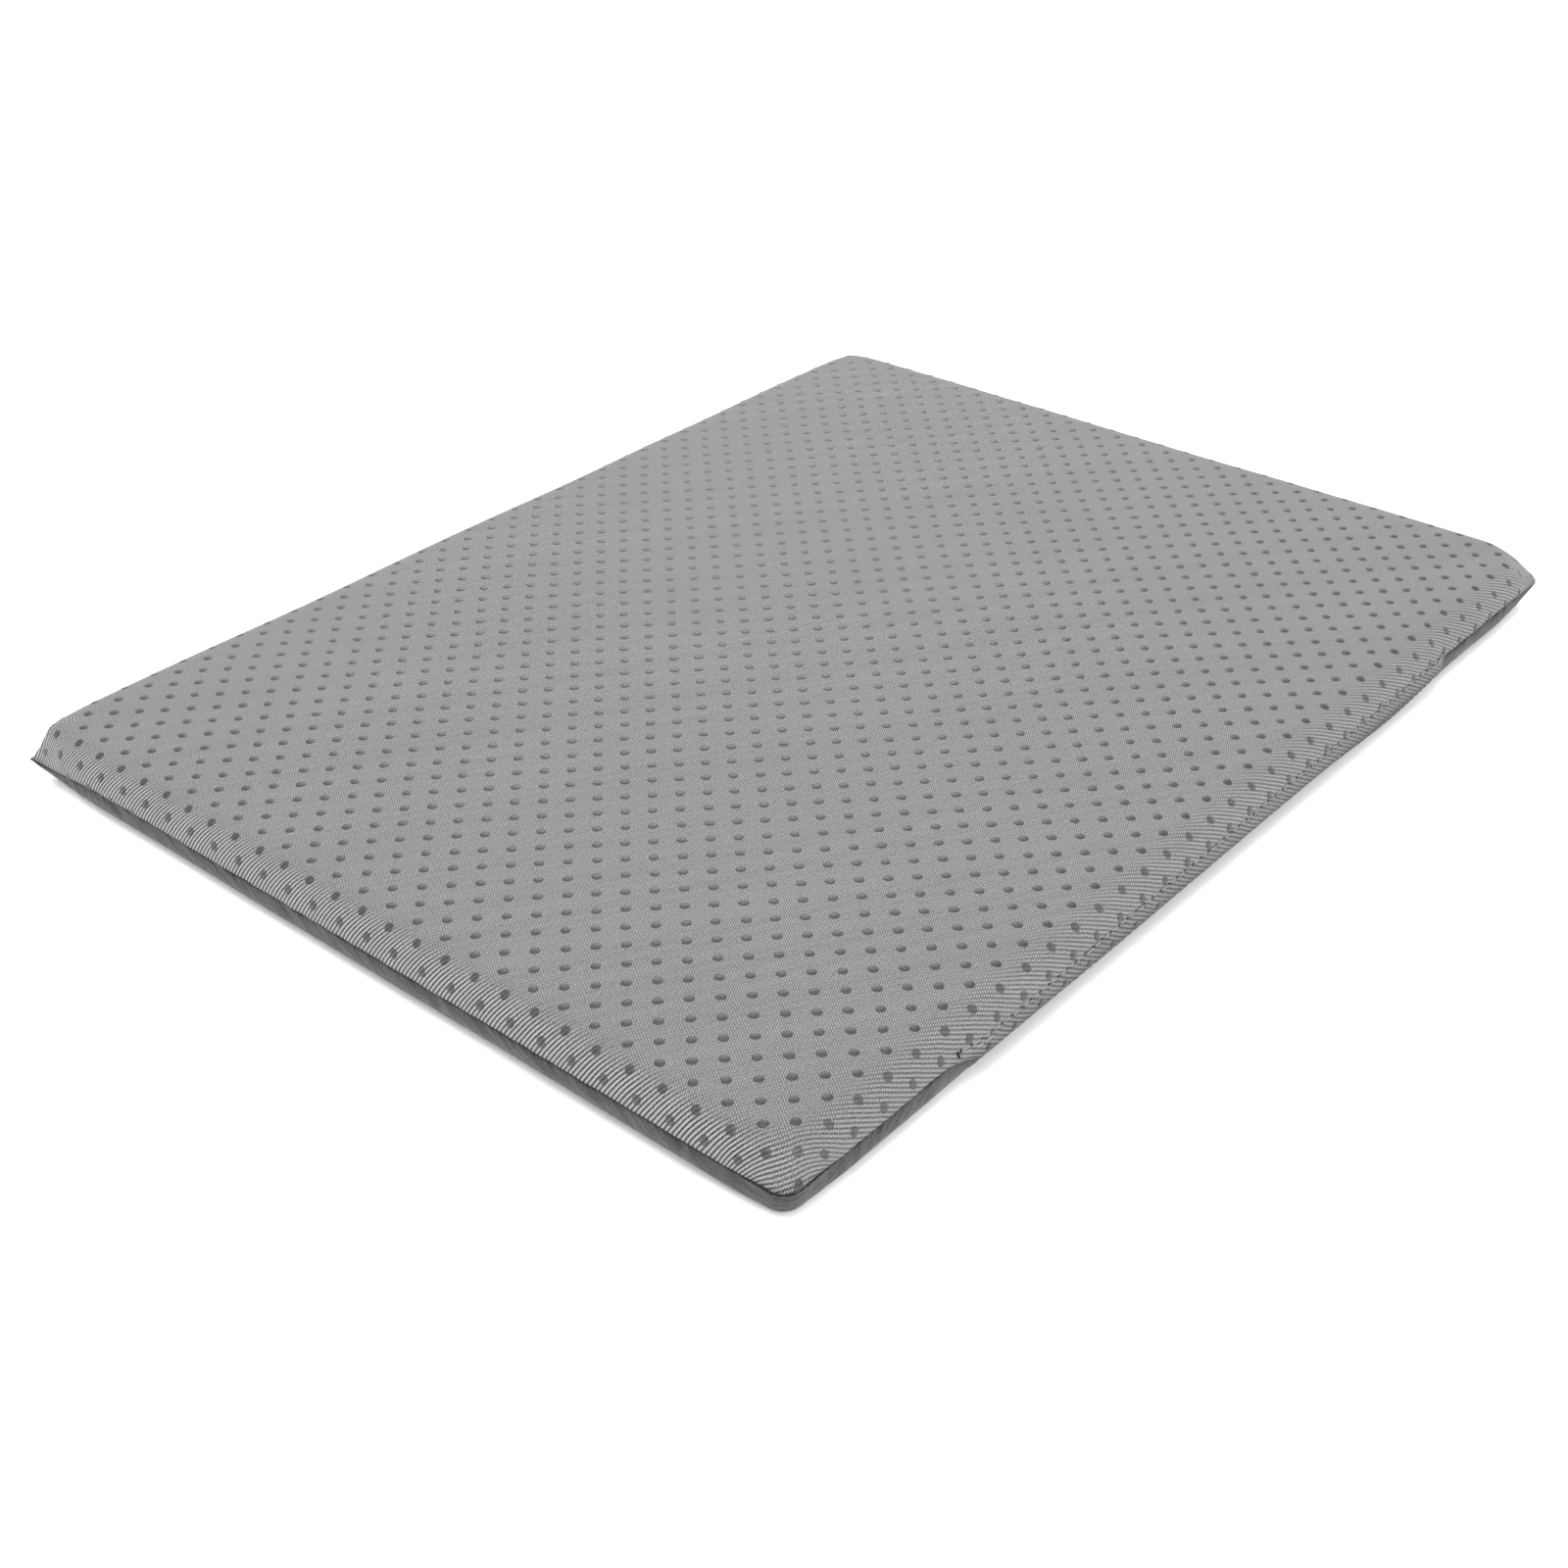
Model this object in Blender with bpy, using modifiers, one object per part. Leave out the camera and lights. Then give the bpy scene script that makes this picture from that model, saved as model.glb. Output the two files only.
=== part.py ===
"""Kneeling pad: a foam slab in a sewn fabric cover with a lapped zip along one long side.

Metres, +Z up. The origin is the middle of the underside. X runs along the long sides,
Y along the short ones, and the zip is on the -Y side.
"""
import math

import bmesh
import bpy
from mathutils import Vector

MM = 0.001

# Pad
LENGTH = 400 * MM
WIDTH = 310 * MM
HEIGHT = 20.5 * MM
SEAM_Z = 10.5 * MM
CORNER_RADIUS = 12 * MM
TOP_ROLL = 9.0 * MM
BOTTOM_ROLL = 5.0 * MM
TOP_FABRIC = 0.9 * MM
BOTTOM_FABRIC = 0.8 * MM
CORNER_SEGMENTS = 6
ROLL_SEGMENTS = 5

# Gap between pieces that touch
GAP = 0.3 * MM

# Modelling: how far a cutter runs past what it cuts, what counts as the same height,
# the distance at which doubled points merge, and the crease angle that stays sharp
CUT_PAST = 1.0 * MM
SAME_HEIGHT = 0.01 * MM
MERGE_DISTANCE = 0.001 * MM
SHARP_ANGLE = math.radians(35)
EDGE_SEGMENTS = 2
THREAD_SEGMENTS = 2
HEM_SEGMENTS = 6

# Threads
SEAM_THREAD_RADIUS = 0.3 * MM
TAPE_THREAD_RADIUS = 0.25 * MM
SEAM_OPENING = 2 * (SEAM_THREAD_RADIUS + GAP)

# Zip opening along the -Y side, and the flap that laps over it
WALL_Y = -WIDTH / 2
OPENING_START_X = -135 * MM
OPENING_END_X = 125 * MM
OPENING_TOP_Z = 15.1 * MM
OPENING_BOTTOM_Z = 6.2 * MM
FLAP_THICKNESS = 1.7 * MM
FLAP_HINGE = (WALL_Y - 0.1 * MM, 13.0 * MM)
FLAP_EDGE = (WALL_Y - 1.2 * MM, 8.4 * MM)
STITCH_INSET_X = 1.0 * MM
BAR_TACK_SIZE = (0.8 * MM, 0.6 * MM, 3.0 * MM)
BAR_TACK_ROUNDING = 0.15 * MM

# Zip chain; depth is measured inwards from the pad's side wall
CHAIN_Z = 9.0 * MM
COIL_THICKNESS = 1.2 * MM
COIL_WIDTH = 1.5 * MM
COIL_PARTING = 1.6 * MM
COIL_DEPTH = 5.1 * MM
COIL_START_X = -121.8 * MM
COIL_END_X = 117.0 * MM
TAPE_THICKNESS = 0.4 * MM
TAPE_DEPTH = COIL_DEPTH + COIL_THICKNESS / 2 + GAP + TAPE_THICKNESS / 2
TAPE_INSET_X = 0.5 * MM
STOP_LENGTH = 2.0 * MM
STOP_THICKNESS = 1.5 * MM
STOP_ROUNDING = 0.2 * MM

# The height at which each tape turns outwards, then the depth and height of its sewn strip's ends
UPPER_TAPE_TURN_Z = 12.9 * MM
UPPER_TAPE_STRIP = ((3.0 * MM, 14.6 * MM), (3.5 * MM, 16.0 * MM))
LOWER_TAPE_TURN_Z = 5.4 * MM
LOWER_TAPE_STRIP = ((2.6 * MM, 4.2 * MM), (2.7 * MM, 3.3 * MM))

# Slider and pull tab
SLIDER_LENGTH = 9.0 * MM
SLIDER_HEIGHT = 6.6 * MM
SLIDER_PLATE = 0.7 * MM
SLIDER_REST_X = 112.2 * MM
SLIDER_ROUNDING = 0.25 * MM
DIVIDER_WIDTH = 1.0 * MM
DIVIDER_LENGTH = 3.6 * MM
CROWN_LENGTH = 4.4 * MM
CROWN_HEIGHT = 2.0 * MM
CROWN_WIDTH = 1.4 * MM
CROWN_EYE = (2.2 * MM, 1.3 * MM)
CROWN_ROUNDING = 0.3 * MM
PULL_BAR = 0.7 * MM
PULL_WIDTH = 3.6 * MM
PULL_LENGTH = 13.0 * MM
PULL_WINDOW = (3.6 * MM, 2.2 * MM)
PULL_ROUNDING = 0.8 * MM
PULL_SEGMENTS = 3

# Foam channel behind the zip: lower and upper heights at its mouth and at its back,
# and the depth and height of the bend between them
CHANNEL_DEPTH = 8.0 * MM
CHANNEL_MOUTH_Z = (1.5 * MM, 17.2 * MM)
CHANNEL_LOWER_BEND = (3.2 * MM, 2.6 * MM)
CHANNEL_UPPER_BEND = (4.4 * MM, 16.6 * MM)
CHANNEL_BACK_Z = (4.8 * MM, 13.4 * MM)

CUTTERS = "cutters"


def new_collection(name):
    """Make a collection in the scene."""
    group = bpy.data.collections.new(name)
    bpy.context.scene.collection.children.link(group)
    return group


def make_material(name, colour, roughness, metallic=0.0):
    """Make a Principled material."""
    material = bpy.data.materials.new(name)
    material.use_nodes = True
    shader = material.node_tree.nodes["Principled BSDF"]
    shader.inputs["Base Color"].default_value = (*colour, 1.0)
    shader.inputs["Roughness"].default_value = roughness
    shader.inputs["Metallic"].default_value = metallic
    return material


def add_object(name, data, group, material=None):
    """Link a new object to a collection and give it its material."""
    thing = bpy.data.objects.new(name, data)
    group.objects.link(thing)
    if material:
        data.materials.append(material)
    return thing


def mesh_from(name, bm):
    """Turn a bmesh into mesh data."""
    data = bpy.data.meshes.new(name)
    bm.to_mesh(data)
    bm.free()
    return data


def shade_round(thing):
    """Shade an object smooth apart from its sharp edges."""
    thing.data.shade_smooth()
    thing.data.set_sharp_from_angle(angle=SHARP_ANGLE)


def box_bmesh(low, high):
    """A bmesh box between two corners."""
    bm = bmesh.new()
    bmesh.ops.create_cube(bm, size=1.0)
    low = Vector(low)
    high = Vector(high)
    bmesh.ops.scale(bm, vec=high - low, verts=bm.verts)
    bmesh.ops.translate(bm, vec=(low + high) / 2, verts=bm.verts)
    return bm


def add_box(name, low, high, group, material=None, bevel=0.0):
    """A box with rounded edges, set on its own centre."""
    centre = (Vector(low) + Vector(high)) / 2
    half = (Vector(high) - Vector(low)) / 2
    bm = box_bmesh(-half, half)
    if bevel:
        bmesh.ops.bevel(bm, geom=bm.edges[:], offset=bevel, segments=EDGE_SEGMENTS,
                        profile=0.5, affect="EDGES")
    thing = add_object(name, mesh_from(name, bm), group, material)
    thing.location = centre
    return thing


def add_cutter(name, low, high, group):
    """A box that only cuts."""
    thing = add_box(name, low, high, group)
    return hide_cutter(thing)


def hide_cutter(thing):
    """Mark an object as a cutter."""
    thing.hide_render = True
    thing.display_type = "WIRE"
    return thing


def cut(thing, cutter):
    """Cut one object with another."""
    modifier = thing.modifiers.new("cut " + cutter.name, "BOOLEAN")
    modifier.operation = "DIFFERENCE"
    modifier.object = cutter


def upright_edges(bm):
    """The four vertical edges of a box."""
    return [edge for edge in bm.edges if abs(edge.verts[0].co.z - edge.verts[1].co.z) > MM]


def rim_edges(bm, z):
    """The edges that lie in a horizontal plane."""
    return [edge for edge in bm.edges if all(abs(vert.co.z - z) < SAME_HEIGHT for vert in edge.verts)]


def slab_bmesh(inset, bottom, top, bottom_roll, top_roll):
    """A pad-shaped slab: rounded corners, then rolled lower and upper edges."""
    half_x = LENGTH / 2 - inset
    half_y = WIDTH / 2 - inset
    bm = box_bmesh((-half_x, -half_y, bottom), (half_x, half_y, top))
    bmesh.ops.bevel(bm, geom=upright_edges(bm), offset=CORNER_RADIUS - inset,
                    segments=CORNER_SEGMENTS, profile=0.5, affect="EDGES")
    for z, roll in ((top, top_roll), (bottom, bottom_roll)):
        if roll:
            bmesh.ops.bevel(bm, geom=rim_edges(bm, z), offset=roll,
                            segments=ROLL_SEGMENTS, profile=0.5, affect="EDGES")
    return bm


def open_at(bm, z):
    """Take away the flat face at a height, which leaves an open shell."""
    flat = [face for face in bm.faces if all(abs(vert.co.z - z) < SAME_HEIGHT for vert in face.verts)]
    bmesh.ops.delete(bm, geom=flat, context="FACES")


def add_shell(name, bm, thickness, group, material):
    """A fabric shell that grows inwards from its outer surface."""
    thing = add_object(name, mesh_from(name, bm), group, material)
    solidify = thing.modifiers.new("fabric", "SOLIDIFY")
    solidify.thickness = thickness
    solidify.offset = -1.0
    solidify.use_even_offset = True
    shade_round(thing)
    return thing


def ribbon_outline(path, thickness, round_ends=False):
    """The outline of a strip of even thickness along a path in the YZ plane."""
    points = [Vector(point) for point in path]
    half = thickness / 2
    left = []
    right = []
    for index, point in enumerate(points):
        before = points[max(index - 1, 0)]
        after = points[min(index + 1, len(points) - 1)]
        into = (point - before).normalized() if index else (after - point).normalized()
        out_of = (after - point).normalized() if index < len(points) - 1 else into
        along = (into + out_of).normalized()
        side = Vector((-along.y, along.x))
        mitre = half / max(side.dot(Vector((-into.y, into.x))), 0.5)
        left.append(point + side * mitre)
        right.append(point - side * mitre)
    if not round_ends:
        return left + right[::-1]
    finish = end_arc(points[-1], left[-1], HEM_SEGMENTS)
    start = end_arc(points[0], right[0], HEM_SEGMENTS)
    return left + finish + right[::-1] + start


def end_arc(centre, first, steps):
    """The inner points of a half circle that starts at one side of a strip's end."""
    radius = first - centre
    points = []
    for step in range(1, steps):
        angle = -math.pi * step / steps
        turned = Vector((radius.x * math.cos(angle) - radius.y * math.sin(angle),
                         radius.x * math.sin(angle) + radius.y * math.cos(angle)))
        points.append(centre + turned)
    return points


def add_extrusion(name, outline, start_x, end_x, group, material=None, pivot=(0.0, 0.0)):
    """A solid with one outline in the YZ plane, run along X. Its origin is on the pivot (y, z)."""
    curve = bpy.data.curves.new(name, "CURVE")
    curve.dimensions = "2D"
    curve.fill_mode = "BOTH"
    curve.extrude = (end_x - start_x) / 2
    spline = curve.splines.new("POLY")
    spline.points.add(len(outline) - 1)
    spline.use_cyclic_u = True
    for point, (y, z) in zip(spline.points, outline):
        point.co = (y - pivot[0], z - pivot[1], 0.0, 1.0)
    thing = add_object(name, curve, group, material)
    thing.rotation_euler = (math.pi / 2, 0.0, math.pi / 2)
    thing.location = ((start_x + end_x) / 2, pivot[0], pivot[1])
    return thing


def add_thread(name, points, radius, group, material):
    """A round thread along a list of points."""
    curve = bpy.data.curves.new(name, "CURVE")
    curve.dimensions = "3D"
    curve.bevel_depth = radius
    curve.bevel_resolution = THREAD_SEGMENTS
    curve.use_fill_caps = True
    spline = curve.splines.new("POLY")
    spline.points.add(len(points) - 1)
    for spot, point in zip(spline.points, points):
        spot.co = (*point, 1.0)
    return add_object(name, curve, group, material)


def seam_path(inset, z):
    """The edge seam's line, from the flap's right end round the pad to its left end."""
    radius = CORNER_RADIUS - inset
    centre_x = LENGTH / 2 - CORNER_RADIUS
    centre_y = WIDTH / 2 - CORNER_RADIUS
    corners = ((1, -1, -90), (1, 1, 0), (-1, 1, 90), (-1, -1, 180))
    points = [(OPENING_END_X + GAP, WALL_Y + inset, z)]
    for side_x, side_y, start in corners:
        for step in range(CORNER_SEGMENTS + 1):
            angle = math.radians(start + 90 * step / CORNER_SEGMENTS)
            points.append((side_x * centre_x + radius * math.cos(angle),
                           side_y * centre_y + radius * math.sin(angle), z))
    points.append((OPENING_START_X - GAP, WALL_Y + inset, z))
    return points


def from_wall(spot):
    """Turn a depth and height at the zip side into a (y, z) point."""
    depth, height = spot
    return (WALL_Y + depth, height)


def build_foam(group, cutters, material):
    """The foam slab, with the channel that the zip presses into it."""
    top_gap = TOP_FABRIC + GAP
    bottom_gap = BOTTOM_FABRIC + GAP
    bm = slab_bmesh(top_gap, bottom_gap, HEIGHT - top_gap, BOTTOM_ROLL - bottom_gap, TOP_ROLL - top_gap)
    foam = add_object("foam_core", mesh_from("foam_core", bm), group, material)
    shade_round(foam)
    outside = WALL_Y - CUT_PAST
    inside = WALL_Y + CHANNEL_DEPTH
    outline = [(outside, CHANNEL_MOUTH_Z[0]), from_wall(CHANNEL_LOWER_BEND), (inside, CHANNEL_BACK_Z[0]),
               (inside, CHANNEL_BACK_Z[1]), from_wall(CHANNEL_UPPER_BEND), (outside, CHANNEL_MOUTH_Z[1])]
    channel = add_extrusion("zip_channel", outline, OPENING_START_X - GAP, OPENING_END_X + GAP, cutters)
    cut(foam, mesh_cutter(channel, cutters))


def mesh_cutter(curve_object, group):
    """Turn an extruded curve into a closed mesh that can cut."""
    bpy.context.view_layer.update()
    graph = bpy.context.evaluated_depsgraph_get()
    data = bpy.data.meshes.new_from_object(curve_object.evaluated_get(graph))
    bm = bmesh.new()
    bm.from_mesh(data)
    bmesh.ops.remove_doubles(bm, verts=bm.verts, dist=MERGE_DISTANCE)
    bmesh.ops.recalc_face_normals(bm, faces=bm.faces)
    bm.to_mesh(data)
    bm.free()
    thing = add_object(curve_object.name + "_mesh", data, group)
    thing.matrix_world = curve_object.matrix_world
    bpy.data.objects.remove(curve_object)
    return hide_cutter(thing)


def build_covers(group, cutters, top_material, bottom_material):
    """The dotted upper panel and the plain lower panel, both open at the seam and at the zip."""
    top_edge = SEAM_Z + SEAM_OPENING / 2
    bm = slab_bmesh(0.0, top_edge, HEIGHT, 0.0, TOP_ROLL)
    open_at(bm, top_edge)
    top = add_shell("top_cover", bm, TOP_FABRIC, group, top_material)

    bottom_edge = SEAM_Z - SEAM_OPENING / 2
    bm = slab_bmesh(0.0, 0.0, bottom_edge, BOTTOM_ROLL, 0.0)
    open_at(bm, bottom_edge)
    bottom = add_shell("bottom_cover", bm, BOTTOM_FABRIC, group, bottom_material)

    mouth = add_cutter("zip_mouth", (OPENING_START_X - GAP, WALL_Y - CUT_PAST, OPENING_BOTTOM_Z),
                       (OPENING_END_X + GAP, WALL_Y + COIL_DEPTH, OPENING_TOP_Z), cutters)
    cut(top, mouth)
    cut(bottom, mouth)


def build_sewing(group, seam_material, stitch_material):
    """The edge seam's thread, the flap's topstitch and bar tacks, and the lower tape's stitching."""
    add_thread("seam_thread", seam_path(TOP_FABRIC / 2, SEAM_Z), SEAM_THREAD_RADIUS, group, seam_material)

    start_x = OPENING_START_X + STITCH_INSET_X
    end_x = OPENING_END_X - STITCH_INSET_X
    flap_top = FLAP_HINGE[1] + FLAP_THICKNESS / 2
    topstitch_y = FLAP_HINGE[0] + FLAP_THICKNESS / 2
    topstitch_z = (flap_top + OPENING_TOP_Z) / 2
    topstitch = [(start_x, topstitch_y, topstitch_z), (end_x, topstitch_y, topstitch_z)]
    add_thread("flap_topstitch", topstitch, TAPE_THREAD_RADIUS, group, stitch_material)

    lower_y = WALL_Y + BOTTOM_FABRIC / 2
    lower_z = OPENING_BOTTOM_Z + GAP + TAPE_THREAD_RADIUS
    lower = [(start_x, lower_y, lower_z), (end_x, lower_y, lower_z)]
    add_thread("lower_tape_stitch", lower, TAPE_THREAD_RADIUS, group, stitch_material)

    size_x, size_y, size_z = BAR_TACK_SIZE
    for name, x in (("bar_tack_left", OPENING_START_X - GAP - size_x),
                    ("bar_tack_right", OPENING_END_X + GAP)):
        low = (x, WALL_Y - GAP - size_y, SEAM_Z)
        high = (x + size_x, WALL_Y - GAP, SEAM_Z + size_z)
        add_box(name, low, high, group, stitch_material, bevel=BAR_TACK_ROUNDING)


def build_flap(group, material):
    """The folded hem that laps over the zip, with its origin on the line it folds up about."""
    outline = ribbon_outline((FLAP_HINGE, FLAP_EDGE), FLAP_THICKNESS, round_ends=True)
    add_extrusion("zip_flap", outline, OPENING_START_X, OPENING_END_X, group, material, pivot=FLAP_HINGE)


def build_zip_chain(group, tape_material, coil_material, metal_material):
    """Two tapes, two coils and the stops at their ends."""
    coil_y = WALL_Y + COIL_DEPTH
    tape_y = WALL_Y + TAPE_DEPTH
    near = COIL_PARTING / 2
    tape_start = OPENING_START_X + TAPE_INSET_X
    tape_end = OPENING_END_X - TAPE_INSET_X

    for name, side, turn_z, strip in (
            ("zip_tape_upper", 1, UPPER_TAPE_TURN_Z, UPPER_TAPE_STRIP),
            ("zip_tape_lower", -1, LOWER_TAPE_TURN_Z, LOWER_TAPE_STRIP)):
        path = [(tape_y, CHAIN_Z + side * near), (tape_y, turn_z)]
        path += [from_wall(spot) for spot in strip]
        outline = ribbon_outline(path, TAPE_THICKNESS)
        add_extrusion(name, outline, tape_start, tape_end, group, tape_material)

    for name, side in (("zip_coil_upper", 1), ("zip_coil_lower", -1)):
        inner = CHAIN_Z + side * (near + COIL_THICKNESS / 2)
        outer = CHAIN_Z + side * (near + COIL_WIDTH - COIL_THICKNESS / 2)
        outline = ribbon_outline(((coil_y, inner), (coil_y, outer)), COIL_THICKNESS, round_ends=True)
        add_extrusion(name, outline, COIL_START_X, COIL_END_X, group, coil_material)

    half = STOP_THICKNESS / 2
    stop_start = COIL_END_X + GAP
    for name, side in (("zip_stop_upper", 1), ("zip_stop_lower", -1)):
        first = CHAIN_Z + side * near
        last = CHAIN_Z + side * (near + COIL_WIDTH)
        add_box(name, (stop_start, coil_y - half, min(first, last)),
                (stop_start + STOP_LENGTH, coil_y + GAP + half / 2, max(first, last)),
                group, metal_material, bevel=STOP_ROUNDING)
    reach = near + COIL_WIDTH
    stop_end = COIL_START_X - GAP
    add_box("zip_stop_end", (stop_end - STOP_LENGTH, coil_y - half, CHAIN_Z - reach),
            (stop_end, coil_y + GAP + half / 2, CHAIN_Z + reach),
            group, metal_material, bevel=STOP_ROUNDING)


def build_slider(group, cutters, material):
    """The slider: two plates joined by the divider, a slot each side for the tape, and the crown."""
    front = SLIDER_REST_X + SLIDER_LENGTH / 2
    back = SLIDER_REST_X - SLIDER_LENGTH / 2
    inner_face = WALL_Y + TAPE_DEPTH + TAPE_THICKNESS / 2 + GAP + SLIDER_PLATE
    outer_face = WALL_Y + COIL_DEPTH - COIL_THICKNESS / 2 - GAP - SLIDER_PLATE
    half_height = SLIDER_HEIGHT / 2
    low = (back, outer_face, CHAIN_Z - half_height)
    high = (front, inner_face, CHAIN_Z + half_height)
    slider = add_box("slider_body", low, high, group, material, bevel=SLIDER_ROUNDING)

    channel_reach = COIL_PARTING / 2 + COIL_WIDTH + GAP
    coil_room = (outer_face + SLIDER_PLATE, inner_face - SLIDER_PLATE)
    tape_room = (WALL_Y + TAPE_DEPTH - TAPE_THICKNESS / 2 - GAP, inner_face - SLIDER_PLATE)
    for side_name, side in (("upper", 1), ("lower", -1)):
        for room_name, room, reach in (("coil", coil_room, channel_reach),
                                       ("tape", tape_room, half_height + CUT_PAST)):
            first = CHAIN_Z + side * DIVIDER_WIDTH / 2
            last = CHAIN_Z + side * reach
            cutter = add_cutter(f"slider_{room_name}_{side_name}",
                                (back - CUT_PAST, room[0], min(first, last)),
                                (front + CUT_PAST, room[1], max(first, last)), cutters)
            cut(slider, cutter)
    behind = add_cutter("slider_behind_divider",
                        (back - CUT_PAST, coil_room[0], CHAIN_Z - DIVIDER_WIDTH),
                        (front - DIVIDER_LENGTH, coil_room[1], CHAIN_Z + DIVIDER_WIDTH), cutters)
    cut(slider, behind)

    half_width = CROWN_WIDTH / 2
    half_length = CROWN_LENGTH / 2
    low = (SLIDER_REST_X - half_length, outer_face - CROWN_HEIGHT, CHAIN_Z - half_width)
    high = (SLIDER_REST_X + half_length, outer_face + SLIDER_PLATE / 2, CHAIN_Z + half_width)
    crown = hide_cutter(add_box("crown_block", low, high, cutters, bevel=CROWN_ROUNDING))
    weld = slider.modifiers.new("crown", "BOOLEAN")
    weld.operation = "UNION"
    weld.object = crown

    eye_x, eye_y = CROWN_EYE
    pivot_y = pull_pivot()[1]
    reach = half_width + CUT_PAST
    eye = add_cutter("crown_eye", (SLIDER_REST_X - eye_x / 2, pivot_y - eye_y / 2, CHAIN_Z - reach),
                     (SLIDER_REST_X + eye_x / 2, pivot_y + eye_y / 2, CHAIN_Z + reach), cutters)
    cut(slider, eye)


def pull_pivot():
    """The pull tab's hinge point: the middle of the crown's eye."""
    outer_face = WALL_Y + COIL_DEPTH - COIL_THICKNESS / 2 - GAP - SLIDER_PLATE
    return (SLIDER_REST_X, outer_face - CROWN_HEIGHT / 2, CHAIN_Z)


def build_pull(group, cutters, material):
    """The pull tab: a flat plate whose end bar runs through the crown's eye."""
    x, y, z = pull_pivot()
    half_bar = PULL_BAR / 2
    half_width = PULL_WIDTH / 2
    plate = box_bmesh((-PULL_LENGTH, -half_bar, -half_width), (half_bar, half_bar, half_width))
    ends = [edge for edge in plate.edges if abs(edge.verts[0].co.y - edge.verts[1].co.y) > half_bar]
    bmesh.ops.bevel(plate, geom=ends, offset=PULL_ROUNDING, segments=PULL_SEGMENTS,
                    profile=0.5, affect="EDGES")
    pull = add_object("pull_tab", mesh_from("pull_tab", plate), group, material)
    pull.location = (x, y, z)
    window_x, window_z = PULL_WINDOW
    window = add_cutter("pull_window", (x - half_bar - window_x, y - CUT_PAST, z - window_z / 2),
                        (x - half_bar, y + CUT_PAST, z + window_z / 2), cutters)
    cut(pull, window)


def build():
    """Build every piece of the pad."""
    for thing in list(bpy.data.objects):
        bpy.data.objects.remove(thing)
    group = new_collection("kneeling_pad")
    cutters = new_collection(CUTTERS)
    dotted = make_material("dotted_twill", (0.33, 0.33, 0.33), 0.85)
    plain = make_material("plain_weave", (0.13, 0.13, 0.13), 0.9)
    foam = make_material("foam", (0.62, 0.60, 0.54), 0.95)
    seam = make_material("seam_thread", (0.02, 0.02, 0.02), 0.8)
    stitch = make_material("stitch_thread", (0.55, 0.55, 0.55), 0.7)
    tape = make_material("zip_tape", (0.06, 0.06, 0.06), 0.85)
    coil = make_material("zip_coil", (0.05, 0.05, 0.05), 0.4)
    metal = make_material("zip_metal", (0.25, 0.25, 0.26), 0.35, metallic=1.0)

    build_foam(group, cutters, foam)
    build_covers(group, cutters, dotted, plain)
    build_sewing(group, seam, stitch)
    build_flap(group, dotted)
    build_zip_chain(group, tape, coil, metal)
    build_slider(group, cutters, metal)
    build_pull(group, cutters, metal)


build()
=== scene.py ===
import math

import bmesh
import bpy
import numpy as np
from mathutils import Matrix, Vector
from mathutils.geometry import delaunay_2d_cdt
from mathutils.kdtree import KDTree


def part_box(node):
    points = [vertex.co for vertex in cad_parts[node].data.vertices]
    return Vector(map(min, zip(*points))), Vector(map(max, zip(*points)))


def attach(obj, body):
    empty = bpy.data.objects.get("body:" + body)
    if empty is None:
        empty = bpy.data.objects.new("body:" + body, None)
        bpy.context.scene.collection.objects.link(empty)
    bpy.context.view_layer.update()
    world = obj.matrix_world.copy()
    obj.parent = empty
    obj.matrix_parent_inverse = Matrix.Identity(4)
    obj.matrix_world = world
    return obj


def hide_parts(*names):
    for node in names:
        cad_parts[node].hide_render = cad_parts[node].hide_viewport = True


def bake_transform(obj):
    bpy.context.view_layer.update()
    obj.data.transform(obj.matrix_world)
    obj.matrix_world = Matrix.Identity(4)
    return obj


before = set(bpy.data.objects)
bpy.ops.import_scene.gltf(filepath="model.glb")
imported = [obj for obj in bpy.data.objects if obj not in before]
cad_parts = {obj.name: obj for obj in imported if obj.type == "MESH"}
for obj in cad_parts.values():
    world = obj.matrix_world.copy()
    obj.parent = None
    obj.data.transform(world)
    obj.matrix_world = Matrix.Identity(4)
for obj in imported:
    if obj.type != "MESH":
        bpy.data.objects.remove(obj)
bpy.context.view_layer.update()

MM = 0.001
SAME = 1e-6

# The pad's size, read from the frame
HALF_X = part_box("top_cover")[1].x
HALF_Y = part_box("top_cover")[1].y
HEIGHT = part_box("top_cover")[1].z
SEAM_Z = sum(corner.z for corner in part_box("seam_thread")) / 2
WALL_Y = -HALF_Y

# The flap over the zip
FLAP_START_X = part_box("zip_flap")[0].x
FLAP_END_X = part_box("zip_flap")[1].x
FLAP_OUT = WALL_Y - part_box("zip_flap")[0].y
FLAP_THICKNESS = 1.7 * MM
FLAP_EDGE_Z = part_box("zip_flap")[0].z + FLAP_THICKNESS / 2
STITCH_SHARE = 0.78
STITCH_PITCH = 4.1 * MM
FIRST_HOLE_X = FLAP_START_X + 1.1 * MM
STITCH_LENGTH = 3.2 * MM
STITCH_GAP = 0.8 * MM
STITCH_WOBBLE = 0.12 * MM
STITCH_RADIUS = 0.21 * MM
LOWER_STITCH_PITCH = 3.2 * MM
LOWER_STITCH_LENGTH = 2.6 * MM

# The seam that joins the two panels, and the radius of the near-black cord that paints the shadow in its
# groove
SEAM_INSET = 0.5 * MM
SEAM_CORNER = 5.0 * MM
SEAM_SHADOW_RADIUS = 0.45 * MM

# The two corners at which the seam hangs low: their X and Y signs, the drop and how far it spreads
SEAM_DIPS = ((-1, 1, 3.0 * MM, 24 * MM), (1, -1, 1.8 * MM, 14 * MM))

# The point of fabric that sticks out of the back left corner: how far, which way and how wide
EAR = 2.0 * MM
EAR_ANGLE = 0.75 * math.pi
EAR_WIDTH = 0.16

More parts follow.
